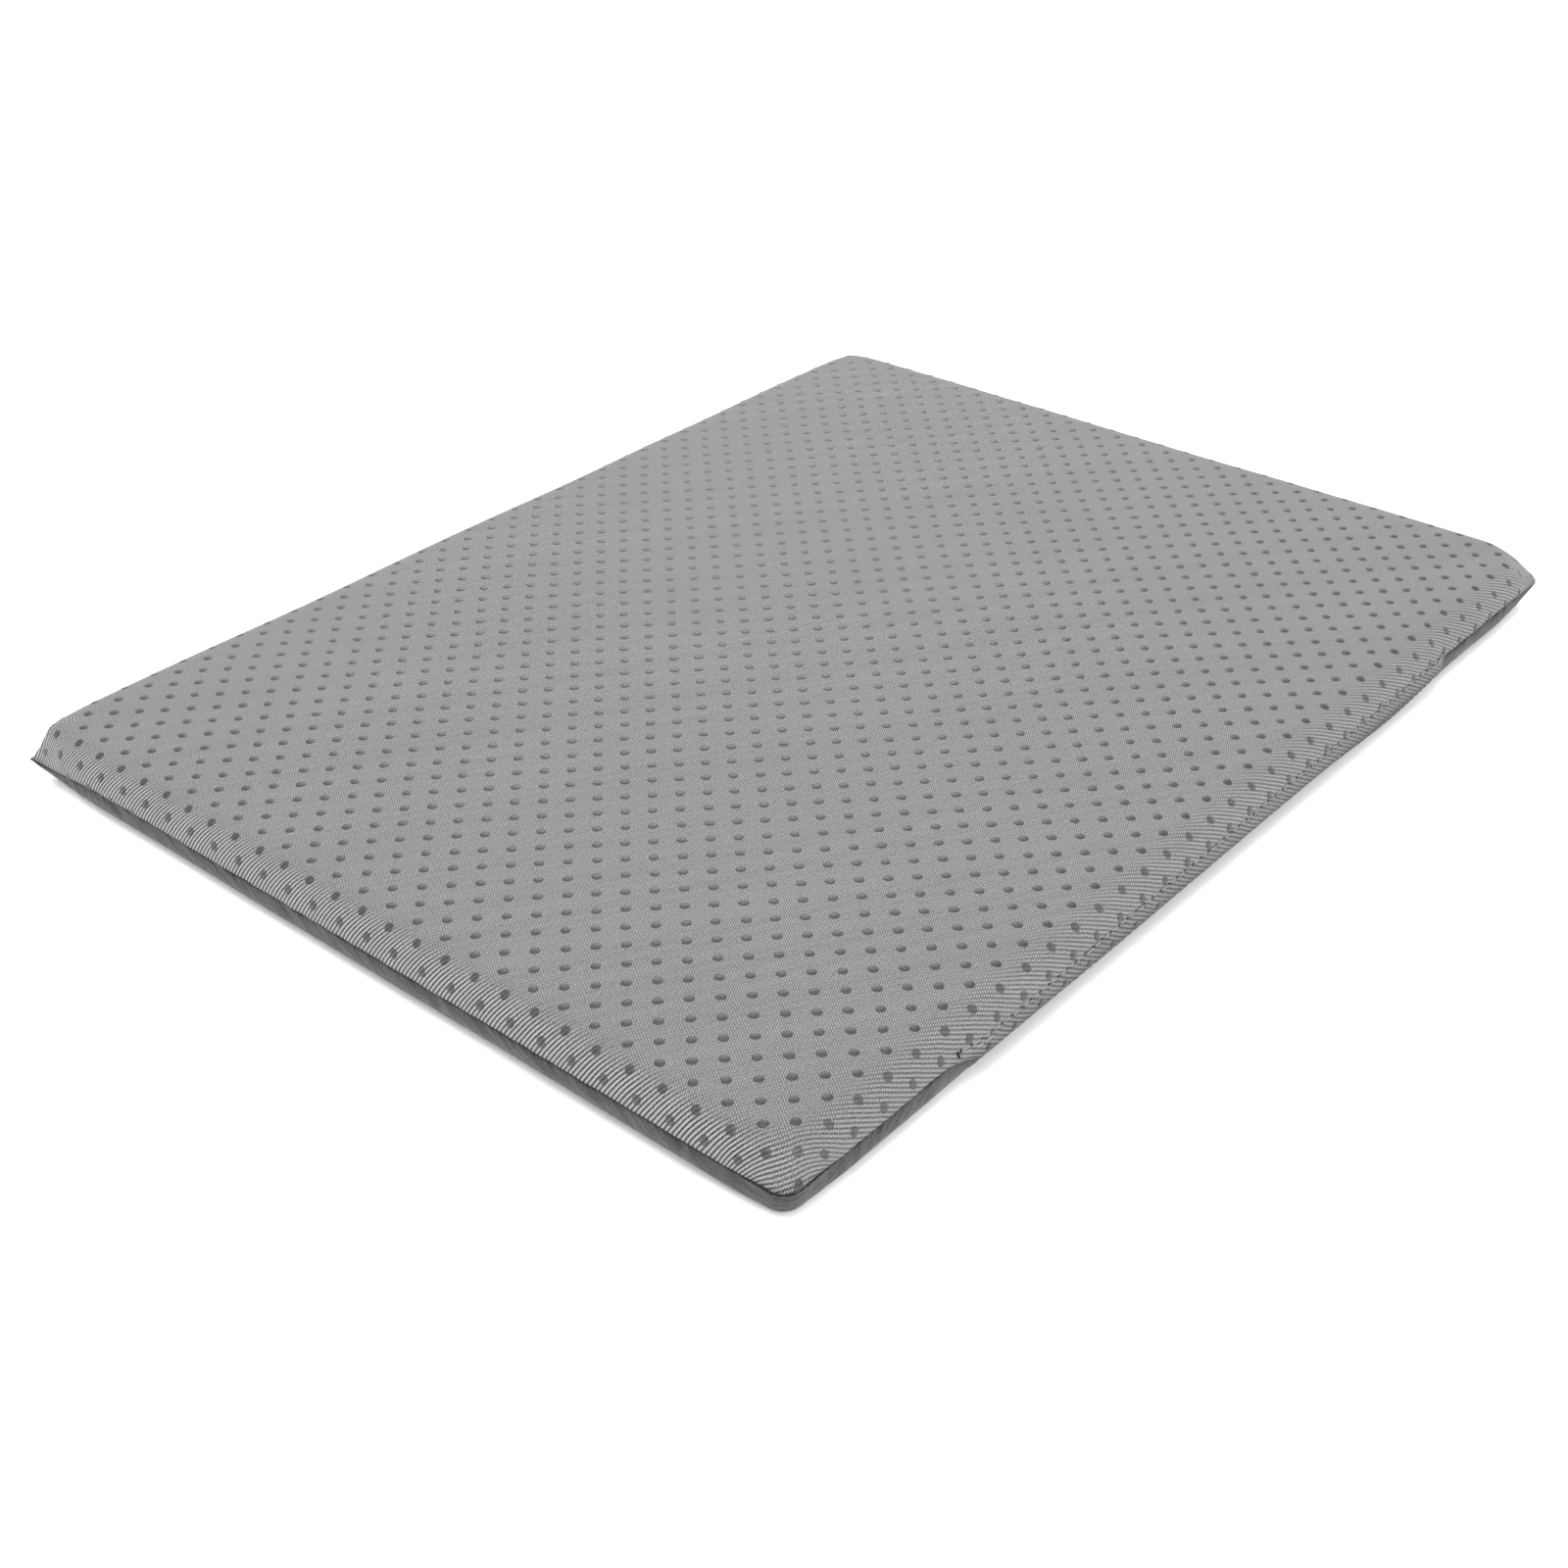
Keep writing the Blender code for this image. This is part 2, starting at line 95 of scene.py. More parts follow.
# Fabric
CLOTH_SPACING = 1.3 * MM
TOP_FABRIC = 0.7 * MM
BOTTOM_FABRIC = 0.6 * MM
TOP_ROLL = 9.0 * MM
TOP_CORNER = 12.0 * MM
BOTTOM_ROLL = 7.5 * MM
BOTTOM_CORNER = 33.0 * MM
HEM_SHARE = 0.62
HEM_RADIUS = 0.55 * MM
FOAM_GAP = 1.3 * MM

# Anti-slip dots: a square lattice that stands on its corner
DOT_PITCH = 7.861 * MM
DOT_TURN = math.radians(45 - 0.44)
DOT_ANCHOR = (-118.32 * MM, -68.54 * MM)
DOT_RADIUS = 1.5 * MM
DOT_HEIGHT = 0.20 * MM
DOT_SIDES = 12
DOT_RINGS = ((0.0, 1.0), (0.4, 0.86), (0.72, 0.52), (0.95, 0.12), (1.0, -0.3))

# Weave of the top panel: waves for each millimetre of fabric, across the ribs and along them
RIB_WAVES = (0.43, 0.74)
FLOAT_WAVES = (-1.19, 0.765)

# The band of the flat cloth where the zip side's roll begins, in millimetres
ZIP_SIDE = (-150.0, -146.0)

# Cloth simulation of the dotted panel
SWELL_STEPS = 20
SWELL_CLOTH = {"quality": 5, "mass": 0.2, "tension_stiffness": 60, "compression_stiffness": 20,
               "bending_stiffness": 2, "use_pressure": True, "uniform_pressure_force": 4.0}
SWELL_LIMIT = 0.8 * MM
SWELL_GRID = 5.0 * MM

# Camera and lights: each light's name, place, size and power
CAMERA_PLACE = (-0.469975, -0.395850, 0.357892)
CAMERA_TURN = (57.188, 1.043, -49.172)
CAMERA_LENS = 49.47
LIGHTS = (("key", (-0.3, -0.1, 1.25), 0.9, 13.4),
          ("fill", (-0.5, -1.4, 0.9), 1.0, 9.5),
          ("back", (0.9, 0.9, 0.8), 0.8, 9.0))
WORLD_STRENGTH = 1.6
FLOOR_REACH = 6.0

rng = np.random.default_rng(11)


# ---------------------------------------------------------------- small helpers

def smooth(value, start, end):
    """A smooth step from 0 at start to 1 at end."""
    t = np.clip((value - start) / (end - start), 0.0, 1.0)
    return t * t * (3 - 2 * t)


def mix(a, b, share):
    """A blend of two values."""
    return a + (b - a) * share


def ripple(x, y, wavelength, seed, waves=7):
    """A gentle random surface between about -1 and 1, as a sum of plane waves."""
    source = np.random.default_rng(seed)
    total = np.zeros(np.broadcast(x, y).shape)
    for _ in range(waves):
        angle = source.uniform(0, math.tau)
        length = wavelength * source.uniform(0.6, 1.6)
        phase = source.uniform(0, math.tau)
        total = total + np.sin(math.tau * (x * math.cos(angle) + y * math.sin(angle)) / length + phase)
    return total / math.sqrt(waves)


def add_mesh(name, points, faces, material, smooth_shading=True):
    """A mesh object from arrays."""
    data = bpy.data.meshes.new(name)
    data.from_pydata([tuple(p) for p in points], [], [tuple(int(i) for i in f) for f in faces])
    data.update()
    thing = bpy.data.objects.new(name, data)
    bpy.context.scene.collection.objects.link(thing)
    data.materials.append(material)
    if smooth_shading:
        data.shade_smooth()
    return thing


def set_fabric(thing, values):
    """Store each point's place in the flat cloth, in millimetres, and its share down the roll."""
    attribute = thing.data.attributes.new("fabric", "FLOAT_VECTOR", "POINT")
    attribute.data.foreach_set("vector", np.asarray(values, np.float32).ravel())


def grid_faces(rows, columns, closed=False):
    """Quads over a grid of points stored row by row."""
    wide = columns if closed else columns - 1
    i, j = np.meshgrid(np.arange(rows - 1), np.arange(wide), indexing="ij")
    right = (j + 1) % columns
    return np.stack([i * columns + j, (i + 1) * columns + j,
                     (i + 1) * columns + right, i * columns + right], axis=-1).reshape(-1, 4)


def closed_grid(rows, columns):
    """The faces of a pipe whose rings are stored one after another, with both ends filled."""
    first = tuple(range(columns))
    last = tuple(range((rows - 1) * columns, rows * columns))[::-1]
    return [tuple(f) for f in grid_faces(rows, columns, closed=True)] + [first, last]


def tube(path, radius, sides=8, twist=0.0, plies=0, ply_depth=0.0):
    """Points and faces of a round tube along a path. radius is one value, or one for each point."""
    path = np.asarray(path, float)
    count = len(path)
    radius = np.broadcast_to(radius, count)
    along = np.gradient(path, axis=0)
    along /= np.linalg.norm(along, axis=1)[:, None]
    side = np.zeros_like(along)
    guide = np.array([0.0, 0.0, 1.0]) if abs(along[0][2]) < 0.9 else np.array([0.0, 1.0, 0.0])
    for k in range(count):
        side[k] = guide - along[k] * (guide @ along[k])
        side[k] /= np.linalg.norm(side[k])
        guide = side[k]
    other = np.cross(along, side)
    travel = np.concatenate(([0.0], np.cumsum(np.linalg.norm(np.diff(path, axis=0), axis=1))))
    angle = np.arange(sides) * math.tau / sides
    ply = 1 + ply_depth * np.cos(plies * (angle[None, :] - twist * travel[:, None])) if plies else 1.0
    cos, sin = np.cos(angle)[None, :, None], np.sin(angle)[None, :, None]
    ring = cos * side[:, None, :] + sin * other[:, None, :]
    points = path[:, None, :] + ring * (radius[:, None] * ply * np.ones((count, sides)))[:, :, None]
    return points.reshape(-1, 3), closed_grid(count, sides)


def join(parts):
    """Several (points, faces) pairs as one."""
    points, faces, start = [], [], 0
    for part_points, part_faces in parts:
        points.append(part_points)
        faces.extend(tuple(i + start for i in f) for f in part_faces)
        start += len(part_points)
    return np.concatenate(points), faces


def fasten(thing, node=None):
    """Let a piece ride on the pad. node is the solid that it replaces."""
    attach(thing, "pad")
    if node:
        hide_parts(node)


def add_parts(name, parts, material, node=None):
    """One piece of the pad, made of (points, faces) pairs."""
    thing = add_mesh(name, *join(parts), material)
    fasten(thing, node)
    return thing


# ---------------------------------------------------------------- camera, light and floor

def add_camera():
    """The camera, above the pad's near corner."""
    data = bpy.data.cameras.new("camera")
    camera = bpy.data.objects.new("camera", data)
    bpy.context.scene.collection.objects.link(camera)
    data.sensor_width = 36
    data.lens = CAMERA_LENS
    data.clip_start = 0.01
    camera.location = CAMERA_PLACE
    camera.rotation_euler = [math.radians(turn) for turn in CAMERA_TURN]
    bpy.context.scene.camera = camera


def add_light(name, spot, size, power):
    """A square soft light that faces the pad."""
    data = bpy.data.lights.new(name, "AREA")
    data.size = size
    data.energy = power
    light = bpy.data.objects.new(name, data)
    bpy.context.scene.collection.objects.link(light)
    light.location = spot
    light.rotation_euler = (-Vector(spot)).to_track_quat("-Z", "Y").to_euler()


def add_studio():
    """A pale floor, an even pale surround and three soft lights."""
    scene = bpy.context.scene
    scene.view_settings.view_transform = "Standard"
    world = bpy.data.worlds.new("studio")
    scene.world = world
    world.use_nodes = True
    backdrop = world.node_tree.nodes["Background"]
    backdrop.inputs["Color"].default_value = (1.0, 1.0, 1.0, 1.0)
    backdrop.inputs["Strength"].default_value = WORLD_STRENGTH
    for light in LIGHTS:
        add_light(*light)
    corners = [(x * FLOOR_REACH, y * FLOOR_REACH, 0) for x, y in ((-1, -1), (1, -1), (1, 1), (-1, 1))]
    floor = add_mesh("floor", corners, [(0, 1, 2, 3)], floor_material(), smooth_shading=False)


# ---------------------------------------------------------------- materials

class Value:
    """A node's output, for use in plain arithmetic."""

    def __init__(self, shader, socket):
        self.shader = shader
        self.socket = socket

    def __add__(self, other):
        return self.shader.math("ADD", self, other)

    def __sub__(self, other):
        return self.shader.math("SUBTRACT", self, other)

    def __rsub__(self, other):
        return self.shader.math("SUBTRACT", other, self)

    def __mul__(self, other):
        return self.shader.math("MULTIPLY", self, other)

    def __truediv__(self, other):
        return self.shader.math("DIVIDE", self, other)


class Shader:
    """A material with one Principled shader, and short ways to add nodes to it."""

    def __init__(self, name, roughness, metallic=0.0, specular=0.5, sheen=0.0):
        self.material = bpy.data.materials.new(name)
        self.material.use_nodes = True
        self.tree = self.material.node_tree
        self.surface = self.tree.nodes["Principled BSDF"].inputs
        self.surface["Roughness"].default_value = roughness
        self.surface["Metallic"].default_value = metallic
        self.surface["Specular IOR Level"].default_value = specular
        self.surface["Sheen Weight"].default_value = sheen
        self.surface["Sheen Roughness"].default_value = 0.5

    def feed(self, socket, value):
        """Link a socket to another node's value, or set it to a plain one."""
        if isinstance(value, Value):
            self.tree.links.new(value.socket, socket)
        else:
            socket.default_value = value

    def node(self, kind, output, inputs, **settings):
        """Add a node with its settings and inputs, and give one of its outputs."""
        node = self.tree.nodes.new("ShaderNode" + kind)
        for name, setting in settings.items():
            setattr(node, name, setting)
        for key, value in inputs.items():
            self.feed(node.inputs[key], value)
        return Value(self, node.outputs[output])

    def math(self, operation, *values):
        """A Math node."""
        return self.node("Math", 0, dict(enumerate(values)), operation=operation)

    def vector(self, operation, *values):
        """A Vector Math node, and its vector or value output."""
        output = "Value" if operation == "DOT_PRODUCT" else "Vector"
        return self.node("VectorMath", output, dict(enumerate(values)), operation=operation)

    def fabric(self):
        """The fabric coordinates that a skin stores."""
        return self.node("Attribute", "Vector", {}, attribute_name="fabric")

    def place(self):
        """The object's own coordinates, in millimetres."""
        return self.vector("MULTIPLY", self.node("TexCoord", "Object", {}), (1000.0, 1000.0, 1000.0))

    def noise(self, where, scale, detail=2.0):
        """A noise value about 0.5."""
        return self.node("TexNoise", "Fac", {"Vector": where, "Scale": scale, "Detail": detail})

    def chance(self, number):
        """A random value for each whole number."""
        return self.node("TexWhiteNoise", "Value", {"W": number}, noise_dimensions="1D")

    def wave(self, turns):
        """A sine that repeats with each whole number of turns."""
        return self.math("SINE", turns * math.tau)

    def combine(self, x, y, z=0.0):
        """A vector from three values."""
        return self.node("CombineXYZ", 0, {0: x, 1: y, 2: z})

    def split(self, vector):
        """The three values of a vector."""
        outputs = self.node("SeparateXYZ", 0, {0: vector}).socket.node.outputs
        return [Value(self, output) for output in outputs]

    def spread(self, value, low, high, to_low=0.0, to_high=1.0):
        """A value moved smoothly from one range to another."""
        inputs = dict(enumerate((value, low, high, to_low, to_high)))
        return self.node("MapRange", "Result", inputs, interpolation_type="SMOOTHSTEP")

    def colour(self, share, dark, light):
        """A colour between two colours."""
        return self.node("Mix", 2, {0: share, 6: (*dark, 1.0), 7: (*light, 1.0)}, data_type="RGBA")

    def mixed(self, share, first, second):
        """A value between two values."""
        return self.node("Mix", 0, {0: share, 2: first, 3: second})

    def grey(self, value):
        """A grey, a little cool."""
        return self.combine(value, value, value * 1.008)

    def scaled(self, colour, value):
        """A colour made lighter or darker."""
        return self.vector("MULTIPLY", colour, self.combine(value, value, value))

    def bump(self, height, distance, strength=1.0):
        """Raise the surface by a height map. distance is in metres."""
        inputs = {"Strength": strength, "Distance": distance, "Height": height}
        self.feed(self.surface["Normal"], self.node("Bump", "Normal", inputs))

    def finish(self, colour, roughness=None):
        """Set the base colour, and the roughness where it varies."""
        self.feed(self.surface["Base Color"], colour)
        if roughness is not None:
            self.feed(self.surface["Roughness"], roughness)
        return self.material


def floor_material():
    """Matt white studio floor with a faint unevenness."""
    shader = Shader("studio_floor", roughness=0.9, specular=0.1)
    uneven = shader.noise(shader.place(), 0.004)
    return shader.finish(shader.colour(uneven, (0.93, 0.93, 0.93), (0.97, 0.97, 0.97)))


def rib_weave(shader, where):
    """The weave's height and its place across the ribs, and how ribbed it is there.

    Slanted floats lie in rows, which run together into ribs on the roll, more so at the ends than
    along the zip.
    """
    u, v, roll = shader.split(where)
    flat_place = shader.combine(u, v)
    drift = (shader.noise(flat_place, 0.06) - 0.5) * 0.8
    tremble = (shader.noise(flat_place, 1.1) - 0.5) * 0.35
    rib = shader.vector("DOT_PRODUCT", where, (*RIB_WAVES, 0.0)) + drift
    run = shader.vector("DOT_PRODUCT", where, (*FLOAT_WAVES, 0.0)) + tremble
    along_zip = shader.spread(v, -158.0, -138.0, 0.42, 1.0)
    on_roll = shader.spread(roll, 0.05, 0.6) * along_zip
    waves = ((rib + run, 0.20, 0.10), (run, 0.18, 0.06), (rib, 0.11, 0.38), (rib - run, 0.12, 0.03))
    height = 0.5
    for turns, on_flat, rolled in waves:
        strength = on_roll * (rolled - on_flat) + on_flat
        height = shader.math("COSINE", turns * math.tau) * strength + height
    stray = shader.noise(flat_place, 2.3) - 0.5
    return height + stray * 0.95, rib, on_roll


def on_zip_side(shader, v):
    """1 on the zip side's roll and 0 elsewhere."""
    return shader.spread(v, *ZIP_SIDE, 1.0, 0.0)


def top_fabric_material():
    """Light grey ribbed weave."""
    shader = Shader("dotted_twill", roughness=0.86, specular=0.2, sheen=0.15)
    where = shader.fabric()
    height, rib, on_roll = rib_weave(shader, where)
    u, v, roll = shader.split(where)
    flat_place = shader.combine(u, v)
    flat_tone = shader.spread(height, 0.05, 0.95, 0.032, 0.205)
    rolled_tone = shader.spread(height, 0.12, 0.85, 0.010, 0.252)
    tone = shader.grey(shader.mixed(on_roll, flat_tone, rolled_tone))
    between_ends = shader.spread(u, -134.0, -118.0) * shader.spread(u, 124.0, 126.0, 1.0, 0.0)
    over_zip = between_ends * on_zip_side(shader, v)
    hem = shader.spread(roll, STITCH_SHARE, STITCH_SHARE + 0.03) * over_zip
    off_stitch = shader.math("ABSOLUTE", roll - STITCH_SHARE)
    crease = shader.spread(off_stitch, 0.008, 0.022, 0.6, 0.0) * over_zip
    hem_shade = 1.0 - (hem * 0.22 + crease)
    rib_tone = shader.chance(shader.math("FLOOR", rib)) * 0.12 + 0.94
    fibre = shader.noise(flat_place, 4.0, 3.0) * 0.3 + 0.85
    cloud = shader.noise(flat_place, 0.02) * 0.1 + 0.95
    # Painted shade near the seam and the flap's edge: the last stretch of the roll darkens, the gaps
    # between the ribs most.
    seam_rib_gap_shade = shader.spread(roll, 0.86, 1.0) * shader.spread(height, 0.2, 0.9, 0.97, 0.15)
    gain = (rib_tone * fibre) * (cloud * hem_shade)
    shader.bump(height, 0.3 * MM, 0.9)
    return shader.finish(shader.scaled(tone, gain * (1.0 - seam_rib_gap_shade)))


def bottom_fabric_material():
    """Darker grey fine twill."""
    shader = Shader("plain_weave", roughness=0.88, specular=0.2, sheen=0.1)
    u, v, roll = shader.split(shader.fabric())
    flat_place = shader.combine(u, v)
    stray = shader.noise(flat_place, 0.5, 3.0) * 1.4
    line = (u + v + stray) / 1.05
    cross = (u - v) / 0.8
    fuzz = shader.spread(shader.noise(flat_place, 1.7, 3.0), 0.3, 0.7, 0.2, 0.8)
    height = shader.wave(line) * 0.22 + shader.wave(cross) * 0.10 + fuzz
    streak_and_overhang_shadow = shader.noise(shader.combine(line * 0.6, cross * 0.06), 1.0, 3.0)
    # The streaks are the weave's own. The roll factor is painted shadow: the band darkens towards the seam,
    # under the overhang of the dotted panel.
    streak_and_overhang_shadow = shader.spread(streak_and_overhang_shadow, 0.33, 0.67, 0.55, 1.45) * shader.spread(roll, 0.55, 0.95, 1.0, 0.62)
    tone = shader.colour(height, (0.030, 0.030, 0.031), (0.076, 0.076, 0.078))
    tone = shader.scaled(tone, streak_and_overhang_shadow)
    fibre = shader.noise(flat_place, 1.3, 4.0) * 0.7 + 0.65
    cloud = shader.noise(flat_place, 0.05) * 0.2 + 0.9
    shader.bump(height, 0.16 * MM, 0.7)
    return shader.finish(shader.scaled(tone, fibre * cloud))


def dot_material():
    """Dark grey rubbery print that still shows the ribs under it."""
    shader = Shader("grip_dots", roughness=0.45, specular=0.24)
    where = shader.fabric()
    height, _, on_roll = rib_weave(shader, where)
    u, v, roll = shader.split(where)
    flat_place = shader.combine(u, v)
    mottle = shader.noise(flat_place, 1.6, 3.0)
    tone = shader.colour(mottle, (0.012, 0.012, 0.012), (0.040, 0.040, 0.041))
    soaked = on_roll * shader.spread(height, 0.3, 1.0, 0.2, 1.8)
    tone = shader.scaled(tone, soaked + shader.spread(height, 0.0, 1.0, 0.6, 1.3))
    wear = shader.noise(flat_place, 0.05) * 0.25 + 0.88
    on_zip_roll = on_zip_side(shader, v) * shader.spread(roll, 0.1, 0.4)
    # Painted highlight: the dots on the zip side's roll are lightened, up to the stitch line, for the gloss
    # they catch there.
    zip_roll_highlight = on_zip_roll * shader.spread(roll, 0.76, 0.8, 0.6, 0.0)
    shader.bump(height + mottle, 0.05 * MM, 0.5)
    roughness = shader.spread(mottle, 0.2, 0.8, 0.28, 0.5)
    return shader.finish(shader.scaled(tone, wear * (zip_roll_highlight + 1.0)), roughness)


def thread_material(name, dark, light):
    """Twisted sewing thread, between two greys."""
    shader = Shader(name, roughness=0.7, specular=0.15)
    hair = shader.noise(shader.place(), 2.5, 4.0)
    shader.bump(hair, 0.05 * MM, 0.6)
    return shader.finish(shader.colour(hair, dark, light))


def tape_material():
    """Woven zip tape: a fine herringbone."""
    shader = Shader("zip_tape", roughness=0.82, specular=0.25, sheen=0.15)
    where = shader.place()
    x, _, z = shader.split(where)
    zigzag = shader.math("ABSOLUTE", shader.math("FRACT", z / 1.6) - 0.5)
    height = shader.wave(x / 0.5 + zigzag * 3.0) * 0.5 + 0.5
    shader.bump(height, 0.1 * MM, 0.7)
    tone = shader.colour(height, (0.018, 0.018, 0.019), (0.05, 0.05, 0.052))
    return shader.finish(shader.scaled(tone, shader.noise(where, 1.2, 3.0) * 0.6 + 0.7))


def coil_material():
    """Moulded nylon filament."""
    shader = Shader("zip_coil", roughness=0.35, specular=0.5)
    scuff = shader.noise(shader.place(), 0.8, 3.0)
    shader.bump(scuff, 0.03 * MM, 0.4)
    tone = shader.colour(scuff, (0.018, 0.018, 0.019), (0.04, 0.04, 0.042))
    return shader.finish(tone, shader.spread(scuff, 0.3, 0.7, 0.3, 0.48))


def metal_material():
    """Dark plated zinc with fine scratches and worn spots."""
    shader = Shader("zip_metal", roughness=0.35, metallic=1.0)
    where = shader.place()
    scratch = shader.noise(shader.vector("MULTIPLY", where, (0.4, 4.0, 4.0)), 2.0, 4.0)
    shader.bump(scratch, 0.03 * MM, 0.4)
    tone = shader.colour(shader.noise(where, 0.5, 3.0), (0.13, 0.13, 0.14), (0.28, 0.28, 0.29))
    return shader.finish(tone, shader.spread(scratch, 0.3, 0.7, 0.28, 0.5))


def foam_material():
    """Open-cell foam."""
    shader = Shader("foam", roughness=0.95, specular=0.2)
    where = shader.place()
    cells = shader.node("TexVoronoi", "Distance", {"Vector": where, "Scale": 1.6})
    shader.bump(cells, 0.25 * MM, 0.8)
    tone = shader.colour(cells, (0.34, 0.32, 0.27), (0.46, 0.44, 0.38))
    return shader.finish(shader.scaled(tone, shader.noise(where, 0.04) * 0.2 + 0.9))


# ---------------------------------------------------------------- the two fabric panels

class Profile:
    """A fold's shape across its width, from the slope at each share of its length. Ends at (1, 1)."""

    def __init__(self, slopes):
        self.share = np.linspace(0, 1, len(slopes))
        middle = np.radians((slopes[1:] + slopes[:-1]) / 2)
        out = np.concatenate(([0.0], np.cumsum(np.cos(middle))))
        down = np.concatenate(([0.0], np.cumsum(np.sin(middle))))
        self.out_values = out / out[-1]
        self.down_values = down / down[-1]

    def out(self, share):
        return np.interp(share, self.share, self.out_values)

    def down(self, share):
        return np.interp(share, self.share, self.down_values)

    def length(self, reach, drop):
        """The fold's length at its real size."""
        return float(np.hypot(np.diff(self.out_values) * reach, np.diff(self.down_values) * drop).sum())


SHARES = np.linspace(0, 1, 81)
TOP_SIDE = Profile(92 * SHARES ** 0.95 + 62 * smooth(SHARES, 0.9, 1.0))
TOP_CORNER_FOLD = Profile(35 * smooth(SHARES, 0.0, 0.4) + 75 * smooth(SHARES, 0.93, 1.0))
LAP = Profile(75 * np.clip(SHARES / 0.74, 0, 1))
TOP_CORNER_FULL = Profile(72 * smooth(SHARES, 0.05, 0.42) - 6 * smooth(SHARES, 0.6, 0.9))
BOTTOM_CORNER_FULL = Profile(72 * smooth(SHARES, 0.42, 0.8))
BOTTOM_SIDE = Profile(90 * smooth(SHARES, -0.25, 0.9) + 45 * smooth(SHARES, 0.92, 1.0))
BOTTOM_CORNER_FOLD = Profile(31 * smooth(SHARES, 0.0, 0.5) + 25 * smooth(SHARES, 0.94, 1.0))


def facing_zip(angle):
    """True on the straight roll of the zip side."""
    return np.sin(angle) < -0.999


def seam_dip(x, y):
    """How far the seam hangs below its usual height."""
    total = 0.0
    for side_x, side_y, drop, reach in SEAM_DIPS:
        gap = np.hypot(x - side_x * HALF_X, y - side_y * HALF_Y)
        total = total + drop * np.exp(-(gap / reach) ** 2)
    return total


class Panel:
    """One fabric panel: flat in the middle and rolled out and down, or up, to the seam.

    Its points are given by their place in the flat cloth, (u, v).
    """

    def __init__(self, flat_z, roll, corner, side, corner_fold, corner_full):
        self.flat_z = flat_z
        self.roll = roll
        self.corner = corner
        self.side = side
        self.corner_fold = corner_fold
        self.corner_full = corner_full
        self.swell = None
        self.line_x = HALF_X - roll - corner
        self.line_y = HALF_Y - roll - corner
        self.seam_gap = roll + corner - SEAM_INSET
        self.drop = SEAM_Z - flat_z
        self.side_length = side.length(roll - SEAM_INSET, abs(self.drop))
        corner_reach = self.seam_reach(math.pi / 4) - corner
        self.corner_length = corner_fold.length(corner_reach, abs(self.drop))
        self.flat_size = [2 * (line + corner + self.side_length) for line in (self.line_x, self.line_y)]

    def seam_reach(self, angle):
        """How far the seam is from the centre of a corner, in a direction."""
        cos = np.abs(np.cos(angle))
        sin = np.abs(np.sin(angle))
        straight = self.seam_gap / np.maximum(cos, sin)
        centre = self.seam_gap - SEAM_CORNER
        facing = centre * (cos + sin)
        arc = facing + np.sqrt(np.maximum(facing ** 2 - 2 * centre ** 2 + SEAM_CORNER ** 2, 0.0))
        reach = np.where(np.minimum(cos, sin) * straight < centre, straight, arc)
        ear = EAR * np.exp(-((np.mod(angle, math.tau) - EAR_ANGLE) / EAR_WIDTH) ** 2)
        return np.where(np.minimum(cos, sin) > 0.5, reach + np.minimum(ear, straight - reach), reach)

    def polar(self, u, v):
        """The nearest point of the inner rectangle, and the direction and distance from it."""
        base_x = np.clip(u, -self.line_x, self.line_x)
        base_y = np.clip(v, -self.line_y, self.line_y)
        angle = np.arctan2(v - base_y, u - base_x)
        distance = np.hypot(u - base_x, v - base_y)
        return base_x, base_y, angle, distance

    def fullness(self, angle):
        """How far each corner is from a slim fold, 0, to a full one, 1."""
        raise NotImplementedError

    def unevenness(self, u, v, angle, share):
        """Small swells and puckers."""
        raise NotImplementedError

    def length(self, base_x, angle):
        """The roll's length from the flat to the seam or to the flap's edge."""
        return mix(self.side_length, self.corner_length, np.sin(2 * angle) ** 2)

    def fold(self, base_x, angle, share):
        """How far out of the flat's edge, and how far down, a share of the roll is."""
        square = np.sin(2 * angle) ** 2
        full = self.fullness(angle) * square
        slim, stuffed = self.corner_fold, self.corner_full
        reach = self.seam_reach(angle) - self.corner
        out = mix(self.side.out(share), slim.out(share), square) * reach
        down = mix(self.side.down(share), slim.down(share), square) * self.drop
        out = out + full * (stuffed.out(share) - slim.out(share)) * reach
        return out, down + full * (stuffed.down(share) - slim.down(share)) * self.drop

    def point(self, u, v):
        """The place in space of each point of the cloth, and its share down the roll."""
        base_x, base_y, angle, distance = self.polar(u, v)
        share = np.clip((distance - self.corner) / self.length(base_x, angle), 0, 1)
        out, down = self.fold(base_x, angle, share)
        across = np.minimum(distance, self.corner) + out
        x = base_x + across * np.cos(angle)
        y = base_y + across * np.sin(angle)
        points = np.stack([x, y, self.flat_z + down - seam_dip(x, y) * down / self.drop], axis=-1)
        return points + self.unevenness(u, v, angle, share) + self.swelling(u, v), share

    def swelling(self, u, v):
        """How far the cloth simulation moved each place of the cloth."""
        if self.swell is None:
            return 0.0
        rows, columns = self.swell.shape[:2]
        across = np.clip((u + self.swell_half[0]) / SWELL_GRID, 0, columns - 1.001)
        along = np.clip((v + self.swell_half[1]) / SWELL_GRID, 0, rows - 1.001)
        i, j = along.astype(int), across.astype(int)
        down, right = (along - i)[..., None], (across - j)[..., None]
        near = mix(self.swell[i, j], self.swell[i, j + 1], right)
        far = mix(self.swell[i + 1, j], self.swell[i + 1, j + 1], right)
        return mix(near, far, down)

